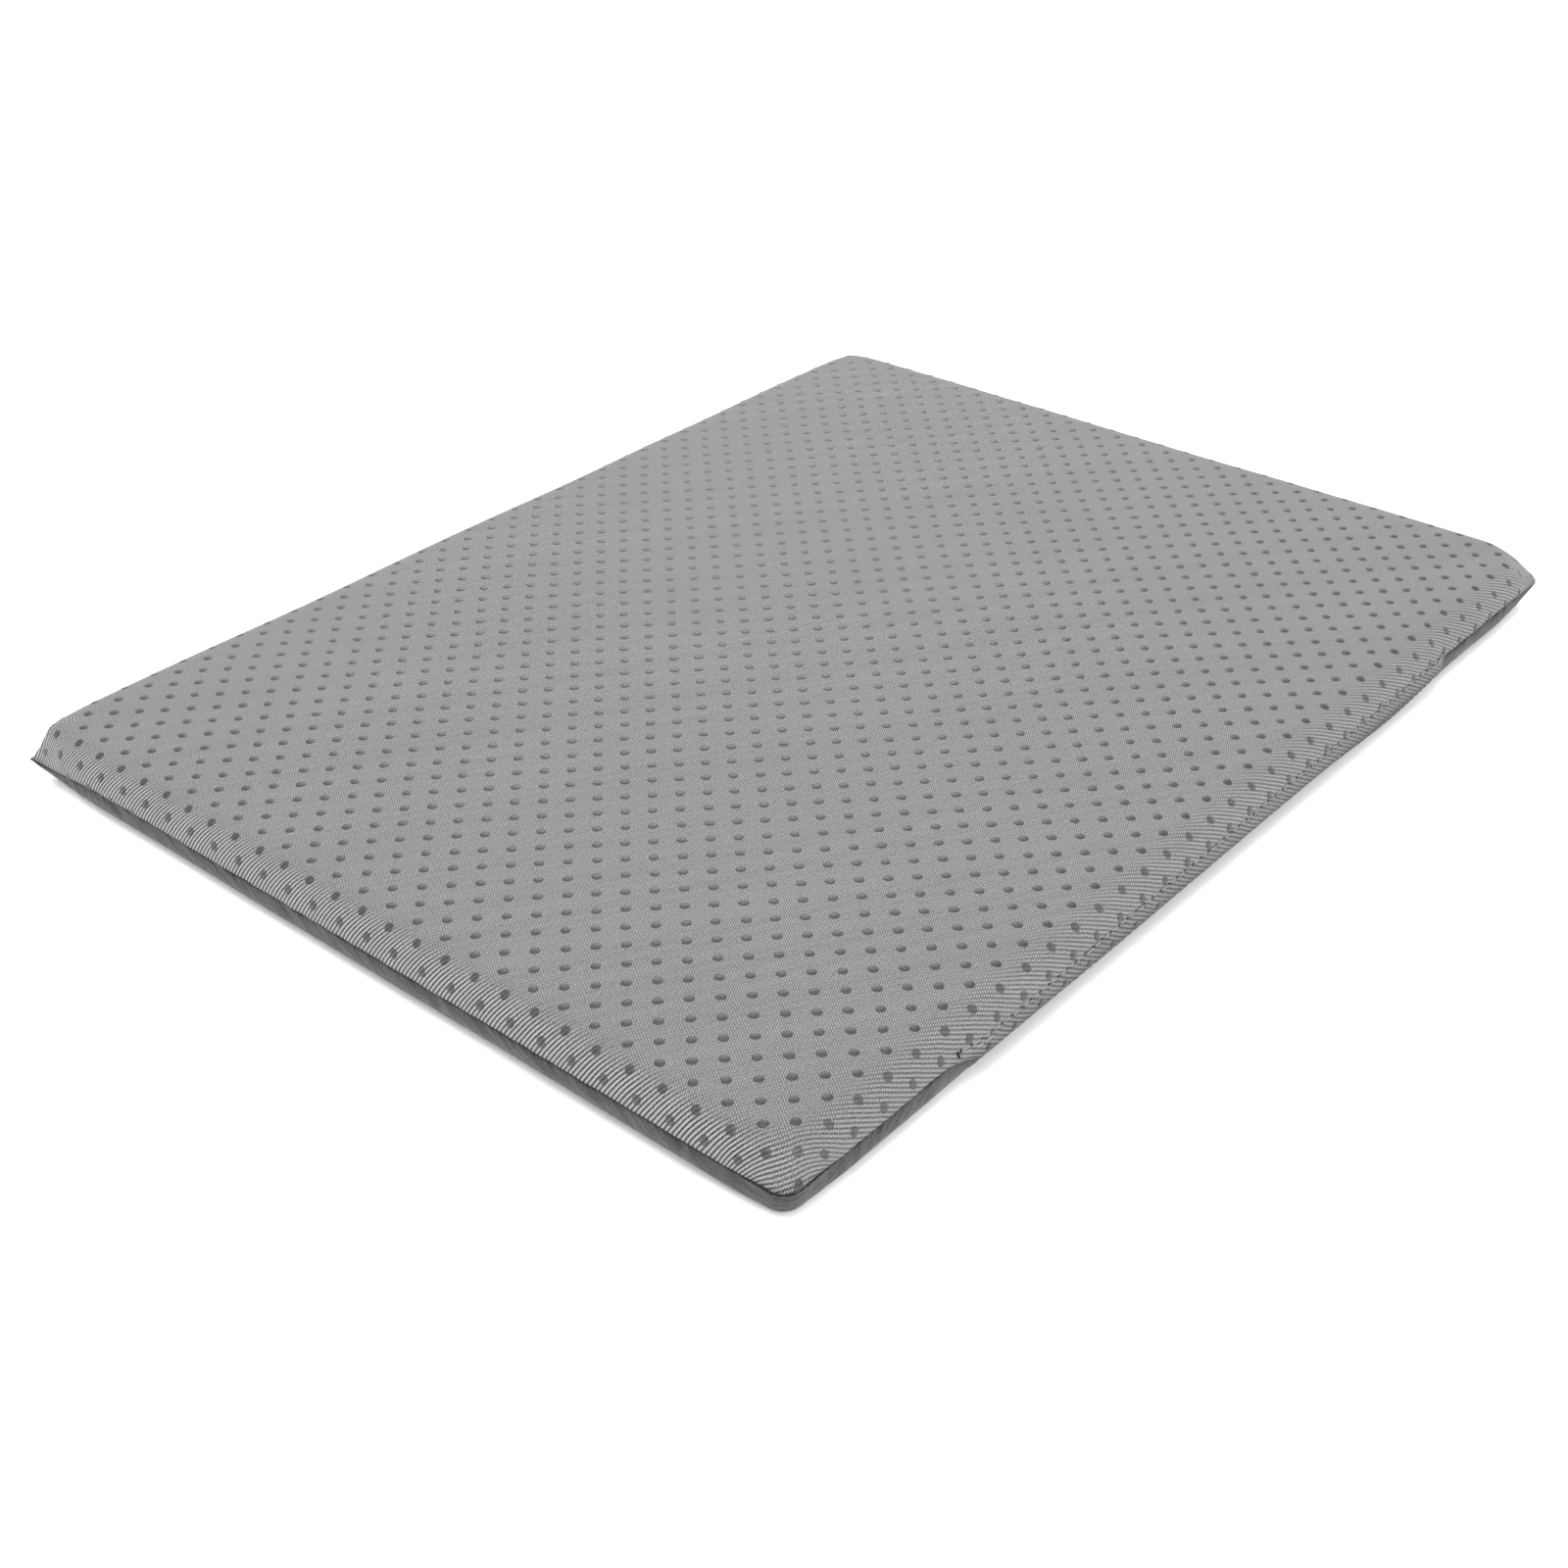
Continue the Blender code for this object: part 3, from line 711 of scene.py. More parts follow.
    def surface_z(self, x, y):
        """The panel's height over each place of the floor plan."""
        base_x, _, angle, distance = self.polar(x, y)
        table = np.linspace(0, 1, 61)
        out, down = self.fold(base_x[:, None], angle[:, None], table[None, :])
        out = np.maximum.accumulate(out, axis=1)
        beyond = distance - self.corner
        step = np.clip((out < beyond[:, None]).sum(axis=1), 1, len(table) - 1)
        rows = np.arange(len(x))
        before, after = out[rows, step - 1], out[rows, step]
        part = np.clip((beyond - before) / np.maximum(after - before, 1e-9), 0, 1)
        fallen = mix(down[rows, step - 1], down[rows, step], part)
        z = self.flat_z + fallen - seam_dip(x, y) * fallen / self.drop
        return np.where(beyond > 0, z, self.flat_z)


class TopPanel(Panel):
    """The dotted panel, which also carries the flap's outer face along the zip."""

    def __init__(self):
        super().__init__(HEIGHT, TOP_ROLL, TOP_CORNER, TOP_SIDE, TOP_CORNER_FOLD, TOP_CORNER_FULL)
        self.lap_reach = TOP_ROLL + FLAP_OUT
        self.lap_drop = FLAP_EDGE_Z - HEIGHT
        self.lap_length = LAP.length(self.lap_reach, -self.lap_drop)

    def lap(self, base_x, angle):
        """How much of the zip flap's shape a place on the edge has."""
        start = smooth(base_x, FLAP_START_X - 5 * MM, FLAP_START_X + 11 * MM)
        end = 1 - smooth(base_x, FLAP_END_X - 6 * MM, FLAP_END_X + 2 * MM)
        return np.where(facing_zip(angle), start * end, 0.0)

    def length(self, base_x, angle):
        return mix(super().length(base_x, angle), self.lap_length, self.lap(base_x, angle))

    def fullness(self, angle):
        """The two corners at the back are stuffed harder."""
        left = np.cos(angle) < 0
        back = np.sin(angle) > 0
        return np.where(left & back, 1.0, np.where(back, 0.6, 0.0))

    def fold(self, base_x, angle, share):
        out, down = super().fold(base_x, angle, share)
        lap = self.lap(base_x, angle)
        out = mix(out, LAP.out(share) * self.lap_reach, lap)
        return out, mix(down, LAP.down(share) * self.lap_drop, lap)

    def unevenness(self, u, v, angle, share):
        swell = 0.16 * MM * ripple(u, v, 0.13, 3) * (1 - smooth(share, 0.3, 1.0))
        sway = 0.22 * MM * ripple(u, v, 0.06, 4) * np.sin(math.pi * share)
        rim = 0.10 * MM * ripple(u, v, 0.012, 5) * smooth(share, 0.55, 0.95)
        lap = self.lap(np.clip(u, -self.line_x, self.line_x), angle)
        hole = 0.5 + 0.5 * np.cos(math.tau * (u - FIRST_HOLE_X) / STITCH_PITCH)
        groove = (0.25 + 0.3 * hole) * MM * np.exp(-((share - STITCH_SHARE) / 0.03) ** 2)
        puff = 0.35 * MM * np.sin(math.pi * np.clip((share - STITCH_SHARE) / (1 - STITCH_SHARE), 0, 1))
        push = sway + rim * (1 - lap) + lap * (puff - groove)
        return np.stack([push * np.cos(angle), push * np.sin(angle), swell], axis=-1)


class BottomPanel(Panel):
    """The plain panel, with its band up to the seam."""

    def __init__(self):
        super().__init__(0.0, BOTTOM_ROLL, BOTTOM_CORNER,
                         BOTTOM_SIDE, BOTTOM_CORNER_FOLD, BOTTOM_CORNER_FULL)

    def fullness(self, angle):
        """The near corner is the fullest."""
        near = (np.sin(angle) < 0) & (np.cos(angle) < 0)
        return np.where(near, 1.0, 0.7)

    def hem(self, base_x, angle):
        """The share of the roll at which the panel ends: the seam, or lower down along the zip."""
        start = smooth(base_x, FLAP_START_X, FLAP_START_X + 8 * MM)
        end = 1 - smooth(base_x, FLAP_END_X - 7 * MM, FLAP_END_X)
        return mix(1.0, HEM_SHARE, np.where(facing_zip(angle), start * end, 0.0))

    def unevenness(self, u, v, angle, share):
        cos, sin = np.cos(angle), np.sin(angle)
        run = u * -sin + v * cos
        climb = share * self.side_length
        slant = ripple(run + 0.9 * climb, np.zeros_like(run), 0.011, 7, waves=5)
        pucker = 0.34 * MM * slant * smooth(share, 0.55, 0.85) * (1 - smooth(share, 0.95, 1.0))
        sway = 0.15 * MM * ripple(u, v, 0.08, 8) * np.sin(math.pi * share)
        bulge = 1.0 * MM * np.exp(-((u - 88 * MM) / (24 * MM)) ** 2)
        push = pucker + sway + np.where(facing_zip(angle), bulge * np.sin(math.pi * share), 0.0)
        return np.stack([push * cos, push * sin, np.zeros_like(push)], axis=-1)


def even_steps(start, end, spacing):
    """Evenly spaced values from start up to but not including end."""
    count = max(1, round(abs(end - start) / spacing))
    return start + (end - start) * np.arange(count) / count


def edge_columns(panel, spacing):
    """The base point and direction of each column of the rolled edge.

    They go counter-clockwise, from the left end of the zip side.
    """
    x, y = panel.line_x, panel.line_y
    turn_count = round(panel.seam_reach(math.pi / 4) * math.pi / 2 / spacing)
    turn = np.arange(turn_count) * math.pi / 2 / turn_count
    front = np.concatenate([even_steps(-x, FLAP_START_X, spacing),
                            even_steps(FLAP_START_X, FLAP_END_X, spacing),
                            even_steps(FLAP_END_X, x, spacing)])
    columns = []
    for base_x, base_y, corner, start in (
            (front, -y, (x, -y), -math.pi / 2),
            (x, even_steps(-y, y, spacing), (x, y), 0.0),
            (even_steps(x, -x, spacing), y, (-x, y), math.pi / 2),
            (-x, even_steps(y, -y, spacing), (-x, -y), math.pi)):
        columns.append(np.stack(np.broadcast_arrays(base_x, base_y, start), axis=-1))
        columns.append(np.stack(np.broadcast_arrays(*corner, start + turn), axis=-1))
    return np.concatenate(columns)


def fill_flat(loop, spacing):
    """Triangles that fill a closed loop of flat points, with an even grid of points inside it."""
    reach_x, reach_y = np.abs(loop).max(axis=0) - 0.75 * spacing
    xs = np.linspace(-reach_x, reach_x, round(2 * reach_x / spacing))
    ys = np.linspace(-reach_y, reach_y, round(2 * reach_y / spacing))
    grid = np.stack(np.meshgrid(xs, ys), axis=-1).reshape(-1, 2)
    cut = np.abs(grid[:, 0]) - reach_x + np.abs(grid[:, 1]) - reach_y > -1.2 * spacing
    grid = grid[~cut]
    count = len(loop)
    points = [Vector(p) for p in np.concatenate([loop, grid])]
    edges = [(k, (k + 1) % count) for k in range(count)]
    made = delaunay_2d_cdt(points, edges, [], 1, 1e-7)
    return np.array([tuple(p) for p in made[0]]), made[2], made[3]


def skin_cloth(panel, rows, spacing, middle_spacing, limit=None):
    """The cloth of a panel as (u, v) points, a grid of edge points, and the faces of its flat middle.

    limit gives the share of the roll where each column ends.
    """
    columns = edge_columns(panel, spacing)
    base_x, base_y, angle = columns.T
    length = panel.length(base_x, angle) * (limit(base_x, angle) if limit else 1.0)
    flat_rows = [r for r in rows if r < 0]
    roll_rows = [r for r in rows if r >= 0]
    distance = np.stack([np.full(len(columns), panel.corner + r) for r in flat_rows]
                        + [panel.corner + share * length for share in roll_rows])
    u = base_x + distance * np.cos(angle)
    v = base_y + distance * np.sin(angle)
    flat_points, flat_faces, origins = fill_flat(np.stack([u[0], v[0]], axis=-1), middle_spacing)
    width = len(columns)
    index = np.zeros(len(flat_points), int)
    inner = []
    for k, came_from in enumerate(origins):
        on_loop = [o for o in came_from if o < width]
        if on_loop:
            index[k] = on_loop[0]
        else:
            index[k] = width * len(rows) + len(inner)
            inner.append(flat_points[k])
    inner = np.array(inner)
    middle = [tuple(int(index[k]) for k in face) for face in flat_faces]
    all_u = np.concatenate([u.ravel(), inner[:, 0]])
    all_v = np.concatenate([v.ravel(), inner[:, 1]])
    return all_u, all_v, columns, middle


def fabric_values(u, v, share):
    """What the weave's material reads."""
    return np.stack([u / MM, v / MM, share], axis=-1)


def finish_skin(skin, cloth, thickness, node):
    """Give a skin its cloth places and its thickness inwards, and fasten it to the pad in place of its
    solid.
    """
    set_fabric(skin, cloth)
    solid = skin.modifiers.new("cloth", "SOLIDIFY")
    solid.thickness = thickness
    solid.offset = -1.0
    fasten(skin, node)


FOLD_STEPS = 6
TOP_ROWS = [-4 * MM, -2 * MM] + [k / 14 for k in range(11)] + [
    STITCH_SHARE - 0.02, STITCH_SHARE, STITCH_SHARE + 0.02, 0.84, 0.89, 0.93, 0.96, 0.98, 1.0]


def build_top(panel, material):
    """The dotted panel, from the flat down to the seam, or to the flap's stitch line along the zip."""
    u, v, columns, middle = skin_cloth(panel, TOP_ROWS, CLOTH_SPACING, 4.5 * MM)
    points, share = panel.point(u, v)
    width = len(columns)
    quads = grid_faces(len(TOP_ROWS), width, closed=True)
    row, column = np.divmod(quads[:, 0], width)
    under_flap = on_flap(columns, column) & (row >= TOP_ROWS.index(STITCH_SHARE))
    faces = [tuple(f) for f in quads[~under_flap]] + middle
    top = add_mesh("top_skin", points, faces, material)
    finish_skin(top, fabric_values(u, v, share), TOP_FABRIC, "top_cover")
    drop_loose(top)


def on_flap(columns, column):
    """True for the quads of the zip side that lie between the flap's ends."""
    start = columns[column, 0]
    in_front = columns[column, 2] < -math.pi / 2 + SAME
    return in_front & (start > FLAP_START_X - SAME) & (start < FLAP_END_X - SAME)


def drop_loose(thing):
    """Remove points that no face uses."""
    bm = bmesh.new()
    bm.from_mesh(thing.data)
    bmesh.ops.delete(bm, geom=[v for v in bm.verts if not v.link_faces], context="VERTS")
    bm.to_mesh(thing.data)
    bm.free()


def build_flap(panel, material):
    """The folded hem over the zip: its outer face, the fold at its edge and its inner face."""
    x = np.append(even_steps(FLAP_START_X, FLAP_END_X, CLOTH_SPACING), FLAP_END_X)
    length = panel.length(x, np.full(len(x), -math.pi / 2))
    outer, cloth = [], []
    for share in TOP_ROWS[TOP_ROWS.index(STITCH_SHARE):]:
        v = -panel.line_y - panel.corner - share * length
        points, _ = panel.point(x, v)
        outer.append(points)
        cloth.append(fabric_values(x, v, np.full(len(x), share)))
    outer = np.array(outer)
    slope = np.gradient(outer, axis=0)
    inward = np.stack([np.zeros(slope.shape[:2]), -slope[..., 2], slope[..., 1]], axis=-1)
    inward /= np.linalg.norm(inward, axis=-1)[..., None]
    thickness = FLAP_THICKNESS * smooth(np.minimum(x - FLAP_START_X, FLAP_END_X - x), -8 * MM, 6 * MM)
    inner = outer + inward * thickness[None, :, None]
    middle = (outer[-1] + inner[-1]) / 2
    half = (outer[-1] - inner[-1]) / 2
    down = np.stack([np.zeros_like(x), half[:, 2], -np.linalg.norm(half, axis=1)], axis=-1)
    turns = np.pi * np.arange(1, FOLD_STEPS) / FOLD_STEPS
    fold = [middle + half * math.cos(turn) + down * math.sin(turn) for turn in turns]
    layers = np.concatenate([outer, fold, inner[::-1]])
    fold_cloth = [cloth[-1] - (0.0, 0.5 * step, 0.0) for step in range(1, FOLD_STEPS)]
    inner_cloth = np.array(cloth)[::-1] - (0.0, 0.5 * FOLD_STEPS, 0.0)
    cloth = np.concatenate([cloth, fold_cloth, inner_cloth])
    rows = len(layers)
    faces = [tuple(f) for f in grid_faces(rows, len(x))]
    for end, flip in ((0, False), (len(x) - 1, True)):
        for k in range(rows // 2):
            quad = [k * len(x) + end, (rows - 1 - k) * len(x) + end,
                    (rows - 2 - k) * len(x) + end, (k + 1) * len(x) + end]
            if len(set(quad)) == 4:
                faces.append(tuple(quad[::-1] if flip else quad))
    flap = add_mesh("flap_hem", layers.reshape(-1, 3), faces, material)
    set_fabric(flap, cloth.reshape(-1, 3))
    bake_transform(flap)
    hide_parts("zip_flap")
    folded = 2 * (1 - STITCH_SHARE) * panel.lap_length + math.pi * FLAP_THICKNESS / 2


def build_bottom(panel, material):
    """The plain panel. Along the zip it stops short of the seam and its hem turns in."""
    rows = [-4 * MM, -2 * MM] + [k / 14 for k in range(14)] + [0.965, 1.0]
    u, v, columns, middle = skin_cloth(panel, rows, CLOTH_SPACING, 6 * MM, limit=panel.hem)
    points, share = panel.point(u, v)
    width = len(columns)
    quads = grid_faces(len(rows), width, closed=True)
    faces = [tuple(f)[::-1] for f in quads] + [f[::-1] for f in middle]

    front = np.flatnonzero(on_flap(columns, np.arange(width)))
    front = np.append(front, front[-1] + 1)
    edge = (len(rows) - 1) * width + front
    turned = []
    for turn in np.radians((45, 90, 135, 180)):
        step = HEM_RADIUS * (1 - math.cos(turn)), HEM_RADIUS * math.sin(turn)
        turned.append(points[edge] + (0.0, *step))
    for down in (1.2, 2.4):
        turned.append(turned[3] + (0.0, 0.25 * MM * down, -down * MM))
    cloth = [fabric_values(u, v, share)]
    previous = edge
    for k in range(len(turned)):
        indices = len(points) + k * len(front) + np.arange(len(front))
        faces += list(zip(previous[:-1], previous[1:], indices[1:], indices[:-1]))
        previous = indices
        cloth.append(fabric_values(u[edge], v[edge] - 0.8 * MM * (k + 1), share[edge]))
    bottom = add_mesh("bottom_skin", np.concatenate([points, *turned]), faces, material)
    finish_skin(bottom, np.concatenate(cloth), BOTTOM_FABRIC, "bottom_cover")


def swell_by_simulation(panel, material):
    """Let the panel swell from a little pressure under it, with its seam held, and keep how it moved."""
    rows = [-6 * MM] + [k / 4 for k in range(5)]
    u, v, columns, middle = skin_cloth(panel, rows, 5 * MM, 7 * MM)
    points, share = panel.point(u, v)
    quads = grid_faces(len(rows), len(columns), closed=True)
    trial = add_mesh("trial_cloth", points, [tuple(f) for f in quads] + middle, material)
    held = trial.vertex_groups.new(name="seam")
    held.add([int(k) for k in np.flatnonzero(share > 0.99)], 1.0, "REPLACE")
    cloth = trial.modifiers.new("cloth", "CLOTH")
    for name, value in SWELL_CLOTH.items():
        setattr(cloth.settings, name, value)
    cloth.settings.vertex_group_mass = held.name
    cloth.settings.effector_weights.gravity = 0
    cloth.point_cache.frame_start = 1
    cloth.point_cache.frame_end = SWELL_STEPS
    for step in range(1, SWELL_STEPS + 1):
        bpy.context.scene.frame_set(step)
    moved = np.zeros(len(points) * 3)
    graph = bpy.context.evaluated_depsgraph_get()
    trial.evaluated_get(graph).data.vertices.foreach_get("co", moved)
    shift = moved.reshape(-1, 3) - points
    bpy.context.scene.frame_set(1)
    data = trial.data
    bpy.data.objects.remove(trial)
    bpy.data.meshes.remove(data)

    shift *= SWELL_LIMIT / max(np.linalg.norm(shift, axis=1).max(), SWELL_LIMIT)
    tree = KDTree(len(u))
    for k in range(len(u)):
        tree.insert((u[k], v[k], 0.0), k)
    tree.balance()
    half = (np.abs(u).max(), np.abs(v).max())
    columns, rows = (int(2 * size / SWELL_GRID) + 2 for size in half)
    field = np.zeros((rows, columns, 3))
    for i in range(rows):
        for j in range(columns):
            spot = (j * SWELL_GRID - half[0], i * SWELL_GRID - half[1], 0.0)
            close = tree.find_n(spot, 6)
            weights = np.array([1 / (gap + 1 * MM) ** 2 for _, _, gap in close])
            field[i, j] = weights @ shift[[k for _, k, _ in close]] / weights.sum()
    panel.swell_half = half
    panel.swell = field


# ---------------------------------------------------------------- dots

def dot_lattice(panel):
    """The dots' places in the flat cloth."""
    steps = np.arange(-70, 70)
    i, j = np.meshgrid(steps, steps)
    cos, sin = math.cos(DOT_TURN), math.sin(DOT_TURN)
    u = DOT_ANCHOR[0] + DOT_PITCH * (i * cos - j * sin)
    v = DOT_ANCHOR[1] + DOT_PITCH * (i * sin + j * cos)
    u, v = u.ravel(), v.ravel()
    base_x, _, angle, distance = panel.polar(u, v)
    margin = mix(0.35 * MM, 1.66 * MM, np.sin(2 * angle) ** 2)
    inside = distance < panel.corner + panel.length(base_x, angle) - margin
    return u[inside], v[inside]


def dot_parts(panel, u, v):
    """Points, faces and cloth places of a low dome at each place, squeezed where the seam cuts it off."""
    sides = DOT_SIDES
    count = len(u)
    size = DOT_RADIUS * rng.uniform(0.96, 1.04, count)
    tilt = rng.uniform(0, math.tau, count)
    u = u + rng.normal(0, 0.07 * MM, count)
    v = v + rng.normal(0, 0.07 * MM, count)
    base_x, _, angle, distance = panel.polar(u, v)
    room = panel.corner + panel.length(base_x, angle) - distance
    out_u, out_v = np.cos(angle), np.sin(angle)
    limit = np.clip((room - 0.15 * MM) / (DOT_RADIUS * 1.1), 0.0, 1.0)
    all_u, all_v, heights = [], [], []
    for radius, height in DOT_RINGS:
        for k in range(sides if radius else 1):
            turn = math.tau * k / sides + tilt
            wobble = 1 + 0.035 * np.sin(2 * turn + tilt) + 0.02 * np.sin(5 * turn - tilt)
            du = size * radius * wobble * np.cos(turn)
            dv = size * radius * wobble * np.sin(turn)
            outward = du * out_u + dv * out_v
            extra = np.where((outward > 0) & (distance > panel.corner), outward * (limit - 1), 0.0)
            all_u.append(u + du + extra * out_u)
            all_v.append(v + dv + extra * out_v)
            heights.append(np.full(count, height * DOT_HEIGHT))
    cloth_u = np.array(all_u).T
    cloth_v = np.array(all_v).T
    heights = np.array(heights).T
    points, share = panel.point(cloth_u, cloth_v)
    normal = surface_normal(panel, cloth_u, cloth_v)
    points = points + normal * heights[..., None]
    faces = [(0, 1 + k, 1 + (k + 1) % sides) for k in range(sides)]
    for ring in range(len(DOT_RINGS) - 2):
        a, b = 1 + ring * sides, 1 + (ring + 1) * sides
        for k in range(sides):
            n = (k + 1) % sides
            faces.append((a + k, b + k, b + n, a + n))
    return points, share, cloth_u, cloth_v, faces


def surface_normal(panel, u, v):
    """The panel's normal at each place of the cloth: out of the pad on the top panel, into it below."""
    step = 0.15 * MM
    along_u = panel.point(u + step, v)[0] - panel.point(u - step, v)[0]
    along_v = panel.point(u, v + step)[0] - panel.point(u, v - step)[0]
    normal = np.cross(along_u, along_v)
    size = np.linalg.norm(normal, axis=-1)
    return normal / np.maximum(size, 1e-12)[..., None]


def add_dots(name, panel, u, v, material):
    """One object with a group of dots."""
    points, share, cloth_u, cloth_v, faces = dot_parts(panel, u, v)
    count, per_dot = points.shape[:2]
    all_faces = [tuple(i + k * per_dot for i in f) for k in range(count) for f in faces]
    dots = add_mesh(name, points.reshape(-1, 3), all_faces, material)
    set_fabric(dots, fabric_values(cloth_u.ravel(), cloth_v.ravel(), share.ravel()))
    return dots


def build_dots(panel, material):
    """The printed dots: on the top face, on the rolled edge and on the flap."""
    u, v = dot_lattice(panel)
    base_x, _, angle, distance = panel.polar(u, v)
    share = (distance - panel.corner) / panel.length(base_x, angle)
    in_front = (v < -panel.line_y) & facing_zip(angle)
    over_zip = in_front & (u > FLAP_START_X + MM) & (u < FLAP_END_X - MM)
    flap = over_zip & (share > STITCH_SHARE)
    rolled = (share > 0) & ~flap
    face = ~rolled & ~flap
    for name, chosen in (("grip_dots_face", face), ("grip_dots_edge", rolled)):
        dots = add_dots(name, panel, u[chosen], v[chosen], material)
        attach(dots, "pad")
    dots = add_dots("grip_dots_flap", panel, u[flap], v[flap], material)
    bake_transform(dots)


# ---------------------------------------------------------------- sewing

def seam_line(panel, spacing):
    """The seam's points, from the flap's right end round the pad to its left end."""
    columns = edge_columns(panel, spacing)
    base_x, base_y, angle = columns.T
    reach = panel.seam_reach(angle) - 0.08 * MM
    x = base_x + reach * np.cos(angle)
    y = base_y + reach * np.sin(angle)
    points = np.stack([x, y, SEAM_Z - seam_dip(x, y)], axis=-1)
    start = np.flatnonzero((angle < -math.pi / 2 + SAME) & (base_x > FLAP_END_X - SAME))[0]
    points = np.roll(points, -start, axis=0)
    last = len(points) - start + np.flatnonzero(base_x[:start] < FLAP_START_X + SAME)[-1]
    return points[:last + 1]


def build_seam(panel, material):
    """A near-black cord in the groove between the panels: painted shadow of the seam's gap, jagged like the
    rib ends above it and thinner away from the near corner.
    """
    path = seam_line(panel, 0.5 * MM)
    rib = (RIB_WAVES[0] * path[:, 0] + RIB_WAVES[1] * path[:, 1]) / MM
    far = np.hypot(path[:, 0] + HALF_X, path[:, 1] + HALF_Y) / (2 * HALF_X)
    jag = 1 + 0.3 * np.sin(math.tau * rib) + 0.18 * ripple(path[:, 0], path[:, 1], 6 * MM, 9)
    radius = SEAM_SHADOW_RADIUS * (1 - 0.55 * far) * jag
    add_parts("seam_shadow_cord", [tube(path, radius)], material, "seam_thread")


def zip_side_points(panel, x, share):
    """A panel's points along its zip side, at a share down the roll, and the normals there."""
    v = -panel.line_y - panel.corner - share * panel.length(x, np.full(len(x), -math.pi / 2))
    return panel.point(x, v)[0], surface_normal(panel, x, v)


def stitch(panel, start, length, share):
    """A short bowed stitch on the top panel's zip side. start is its first X."""
    base, normal = zip_side_points(panel, np.linspace(start, start + length, 9), share)
    t = np.linspace(0, 1, 9)
    height = -0.35 * MM + 0.55 * MM * np.sin(math.pi * t) ** 0.5
    radius = STITCH_RADIUS * (0.75 + 0.25 * np.sin(math.pi * t))
    return tube(base + normal * height[:, None], radius, sides=10, twist=2400.0, plies=2, ply_depth=0.14)


def build_topstitch(panel, material, dark_material):
    """The row of stitches along the top of the flap, doubled at both ends, and near-black blobs that paint
    the shade in its needle holes.
    """
    first = FIRST_HOLE_X + STITCH_GAP / 2
    last = FLAP_END_X - 1.5 * MM
    count = int((last - first) / STITCH_PITCH)
    starts = first + STITCH_PITCH * np.arange(count)
    parts = []
    for start, shift in zip(starts, rng.normal(0, STITCH_WOBBLE, count)):
        share = STITCH_SHARE + shift / (9 * MM) * 0.5
        parts.append(stitch(panel, start + shift, STITCH_LENGTH, share))
    for begin in (first + 0.6 * MM, last - 3 * STITCH_PITCH):
        for start in begin + STITCH_PITCH * np.arange(3):
            parts.append(stitch(panel, start, 0.8 * STITCH_LENGTH, STITCH_SHARE + 0.045))
    add_parts("topstitch", parts, material, "flap_topstitch")

    # Painted shade: a near-black blob at each needle hole.
    hole_shades = []
    for x in np.append(starts, starts[-1] + STITCH_PITCH) - STITCH_GAP / 2:
        base, normal = zip_side_points(panel, np.array([x]), STITCH_SHARE)
        path = base + normal * (np.array([-0.3, 0.1, 0.16]) * MM)[:, None]
        hole_shades.append(tube(path, np.array([0.46, 0.44, 0.3]) * MM, sides=10))
    add_parts("needle_hole_shade", hole_shades, dark_material)


def build_bar_tacks(panel, material):
    """Dense zigzag stitches that close both ends of the flap."""
    t = np.linspace(0, 1, 60)
    zigzag = 0.3 * MM * np.sin(math.tau * 9 * t)
    for side, x in (("left", FLAP_START_X - 0.2 * MM), ("right", FLAP_END_X + 0.4 * MM)):
        base, normal = zip_side_points(panel, x + zigzag, STITCH_SHARE - 0.02 + 0.1 * t)
        parts = [tube(base + normal * (0.08 * MM), 0.17 * MM)]
        add_parts("tack_" + side, parts, material, "bar_tack_" + side)


def build_thread_ends(panel, material):
    """Loose ends of the topstitch at the flap's right end."""
    parts = []
    t = np.linspace(0, 1, 9)
    for reach, rise, turn in ((2.3, 0.35, 0.5), (1.7, 0.45, -0.3), (2.6, 0.3, -0.8)):
        x = FLAP_END_X - 0.6 * MM + reach * MM * t
        base, normal = zip_side_points(panel, x, STITCH_SHARE + 0.02 + 0.07 * np.sin(turn + 2.2 * t))
        height = rise * MM * np.sin(math.pi * 0.8 * t) + 0.1 * MM
        parts.append(tube(base + normal * height[:, None], 0.10 * MM))
    add_parts("thread_ends", parts, material)


# ---------------------------------------------------------------- foam and zip

def build_foam(material, top, bottom):
    """The foam slab, grown from its solid with softened edges and pressed into shape by the two panels."""
    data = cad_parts["foam_core"].data.copy()
    data.materials.clear()
    foam = bpy.data.objects.new("foam_block", data)
    bpy.context.scene.collection.objects.link(foam)
    remesh = foam.modifiers.new("cells", "REMESH")
    remesh.mode = "VOXEL"
    remesh.voxel_size = 3.0 * MM
    soften = foam.modifiers.new("soften", "SMOOTH")
    soften.iterations = 3
    soften.factor = 0.5
    bpy.context.view_layer.update()
    graph = bpy.context.evaluated_depsgraph_get()
    made = bpy.data.meshes.new_from_object(foam.evaluated_get(graph))
    foam.modifiers.clear()
    foam.data = made
    made.name = "foam_block"

    places = np.zeros(len(made.vertices) * 3)
    made.vertices.foreach_get("co", places)
    places = places.reshape(-1, 3)
    base_x, base_y, angle, distance = top.polar(places[:, 0], places[:, 1])
    inside = np.minimum(distance, top.seam_reach(angle) - 1.6 * FOAM_GAP)
    places[:, 0] = base_x + inside * np.cos(angle)
    places[:, 1] = base_y + inside * np.sin(angle)
    high = top.surface_z(places[:, 0], places[:, 1]) - FOAM_GAP
    low = bottom.surface_z(places[:, 0], places[:, 1]) + FOAM_GAP
    middle = (high + low) / 2
    places[:, 2] = np.clip(places[:, 2], np.minimum(low, middle), np.maximum(high, middle))
    made.vertices.foreach_set("co", places.ravel())
    made.update()
    made.materials.append(material)
    made.shade_smooth()
    fasten(foam, "foam_core")


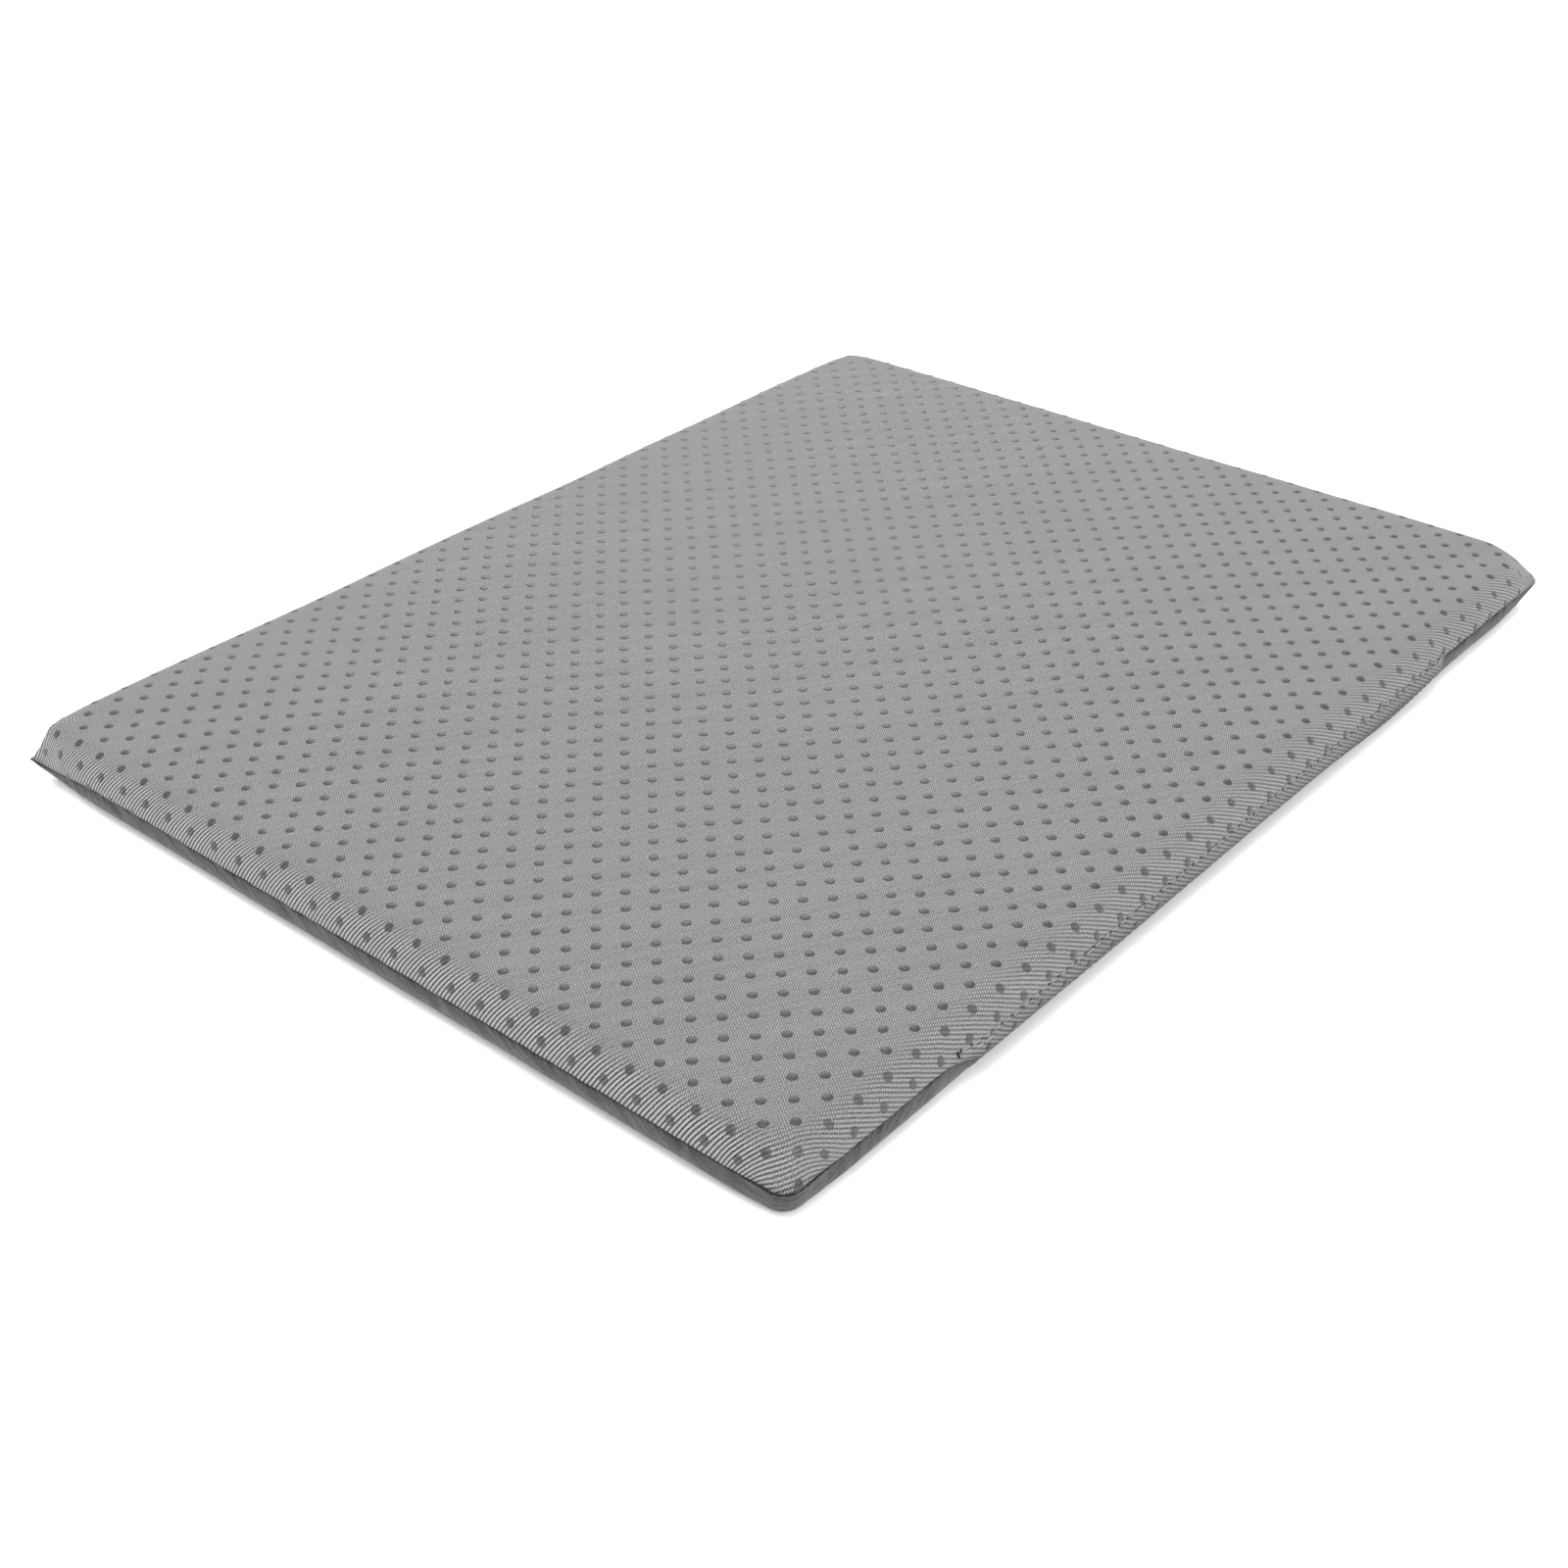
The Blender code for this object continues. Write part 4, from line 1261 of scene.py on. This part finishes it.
def ribbon(path, thickness, start_x, end_x, spacing):
    """Points and faces of a strip of even thickness that runs along X, with its section in the YZ plane."""
    path = np.asarray(path, float)
    along = np.gradient(path, axis=0)
    along /= np.linalg.norm(along, axis=1)[:, None]
    side = np.stack([-along[:, 1], along[:, 0]], axis=-1) * thickness / 2
    section = np.concatenate([path + side, (path - side)[::-1]])
    xs = np.append(even_steps(start_x, end_x, spacing), end_x)
    points = np.zeros((len(xs), len(section), 3))
    points[:, :, 0] = xs[:, None]
    points[:, :, 1:] = section[None]
    return points.reshape(-1, 3), closed_grid(len(xs), len(section))


def curve_through(points, steps=24):
    """A smooth path through a few points of the YZ plane, by a Catmull-Rom spline."""
    points = np.asarray(points, float)
    padded = np.concatenate([[2 * points[0] - points[1]], points, [2 * points[-1] - points[-2]]])
    path = []
    for k in range(len(points) - 1):
        a, b, c, d = padded[k:k + 4]
        for t in np.arange(steps) / steps:
            path.append(0.5 * (2 * b + (c - a) * t + (2 * a - 5 * b + 4 * c - d) * t * t
                               + (3 * b - 3 * c + d - a) * t ** 3))
    path.append(points[-1])
    return np.array(path)


def build_tapes(material):
    """The two woven tapes, bent from the zip chain to the panels."""
    thickness = 0.4 * MM
    for name in ("tape_upper", "tape_lower"):
        low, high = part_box("zip_" + name)
        back = high.y - thickness / 2
        front = low.y + thickness / 2
        near, far = (low.z, high.z) if name == "tape_upper" else (high.z, low.z)
        bend = near + (far - near) * 0.55
        path = curve_through([(back, near), (back, bend), (front + 0.5 * MM, far - (far - near) * 0.2),
                              (front + 0.2 * MM, far)], steps=6)
        parts = [ribbon(path, thickness, low.x, high.x, 4 * MM)]
        tape = add_parts(name, parts, material, "zip_" + name)
        tape.data.set_sharp_from_angle(angle=math.radians(50))


def build_coils(material):
    """Each side's coil: one filament wound in flat loops."""
    pitch = 1.25 * MM
    wire = 0.24 * MM
    for name, side in (("coil_upper", 1), ("coil_lower", -1)):
        low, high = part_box("zip_" + name)
        turns = (high.x - low.x - 2 * wire) / pitch
        t = np.linspace(0, turns, int(turns * 12))
        turn = math.tau * t
        centre_z = (low.z + high.z) / 2 - side * 0.1 * MM
        half_z = (high.z - low.z) / 2 - wire + 0.1 * MM
        centre_y = (low.y + high.y) / 2
        half_y = (high.y - low.y) / 2 - wire
        path = np.stack([low.x + wire + pitch * t + 0.12 * MM * np.sin(turn),
                         centre_y + half_y * np.sin(turn),
                         centre_z + side * half_z * np.cos(turn)], axis=-1)
        add_parts(name, [tube(path, wire, sides=6)], material, "zip_" + name)


def build_lower_stitch(panel, material):
    """The stitches that hold the lower tape to the plain panel, just below its hem."""
    low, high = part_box("lower_tape_stitch")
    parts = []
    t = np.linspace(0, 1, 7)
    height = -0.1 * MM + 0.25 * MM * np.sin(math.pi * t)
    for start in even_steps(low.x, high.x, LOWER_STITCH_PITCH):
        x = start + LOWER_STITCH_LENGTH * t
        share = panel.hem(x, np.full(len(x), -math.pi / 2)) - 0.1
        base, inward = zip_side_points(panel, x, share)
        parts.append(tube(base - inward * height[:, None], 0.14 * MM))
    add_parts("tape_stitches", parts, material, "lower_tape_stitch")


def dress_metal(material):
    """The slider, its pull and the stops keep their solids and get plated metal."""
    for name in ("slider_body", "pull_tab", "zip_stop_upper", "zip_stop_lower", "zip_stop_end"):
        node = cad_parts[name]
        node.data.materials.clear()
        node.data.materials.append(material)


# ---------------------------------------------------------------- the whole

add_camera()
add_studio()

top_material = top_fabric_material()
bottom_material = bottom_fabric_material()
dots_material = dot_material()
# The near-black seam material paints shadow in the seam's groove and in the needle holes; it also colours
# the dark bar tacks.
dark_thread_and_shadow_material = thread_material("seam_thread", (0.003, 0.003, 0.003), (0.012, 0.012, 0.012))
stitch_material = thread_material("stitch_thread", (0.12, 0.12, 0.12), (0.30, 0.30, 0.297))
tape_stitch_material = thread_material("tape_thread", (0.03, 0.03, 0.03), (0.08, 0.08, 0.08))

top_panel = TopPanel()
bottom_panel = BottomPanel()
swell_by_simulation(top_panel, top_material)
build_foam(foam_material(), top_panel, bottom_panel)
build_top(top_panel, top_material)
build_flap(top_panel, top_material)
build_bottom(bottom_panel, bottom_material)
build_dots(top_panel, dots_material)
build_seam(top_panel, dark_thread_and_shadow_material)
build_topstitch(top_panel, stitch_material, dark_thread_and_shadow_material)
build_bar_tacks(top_panel, dark_thread_and_shadow_material)
build_thread_ends(top_panel, stitch_material)
build_tapes(tape_material())
build_coils(coil_material())
build_lower_stitch(bottom_panel, tape_stitch_material)
dress_metal(metal_material())
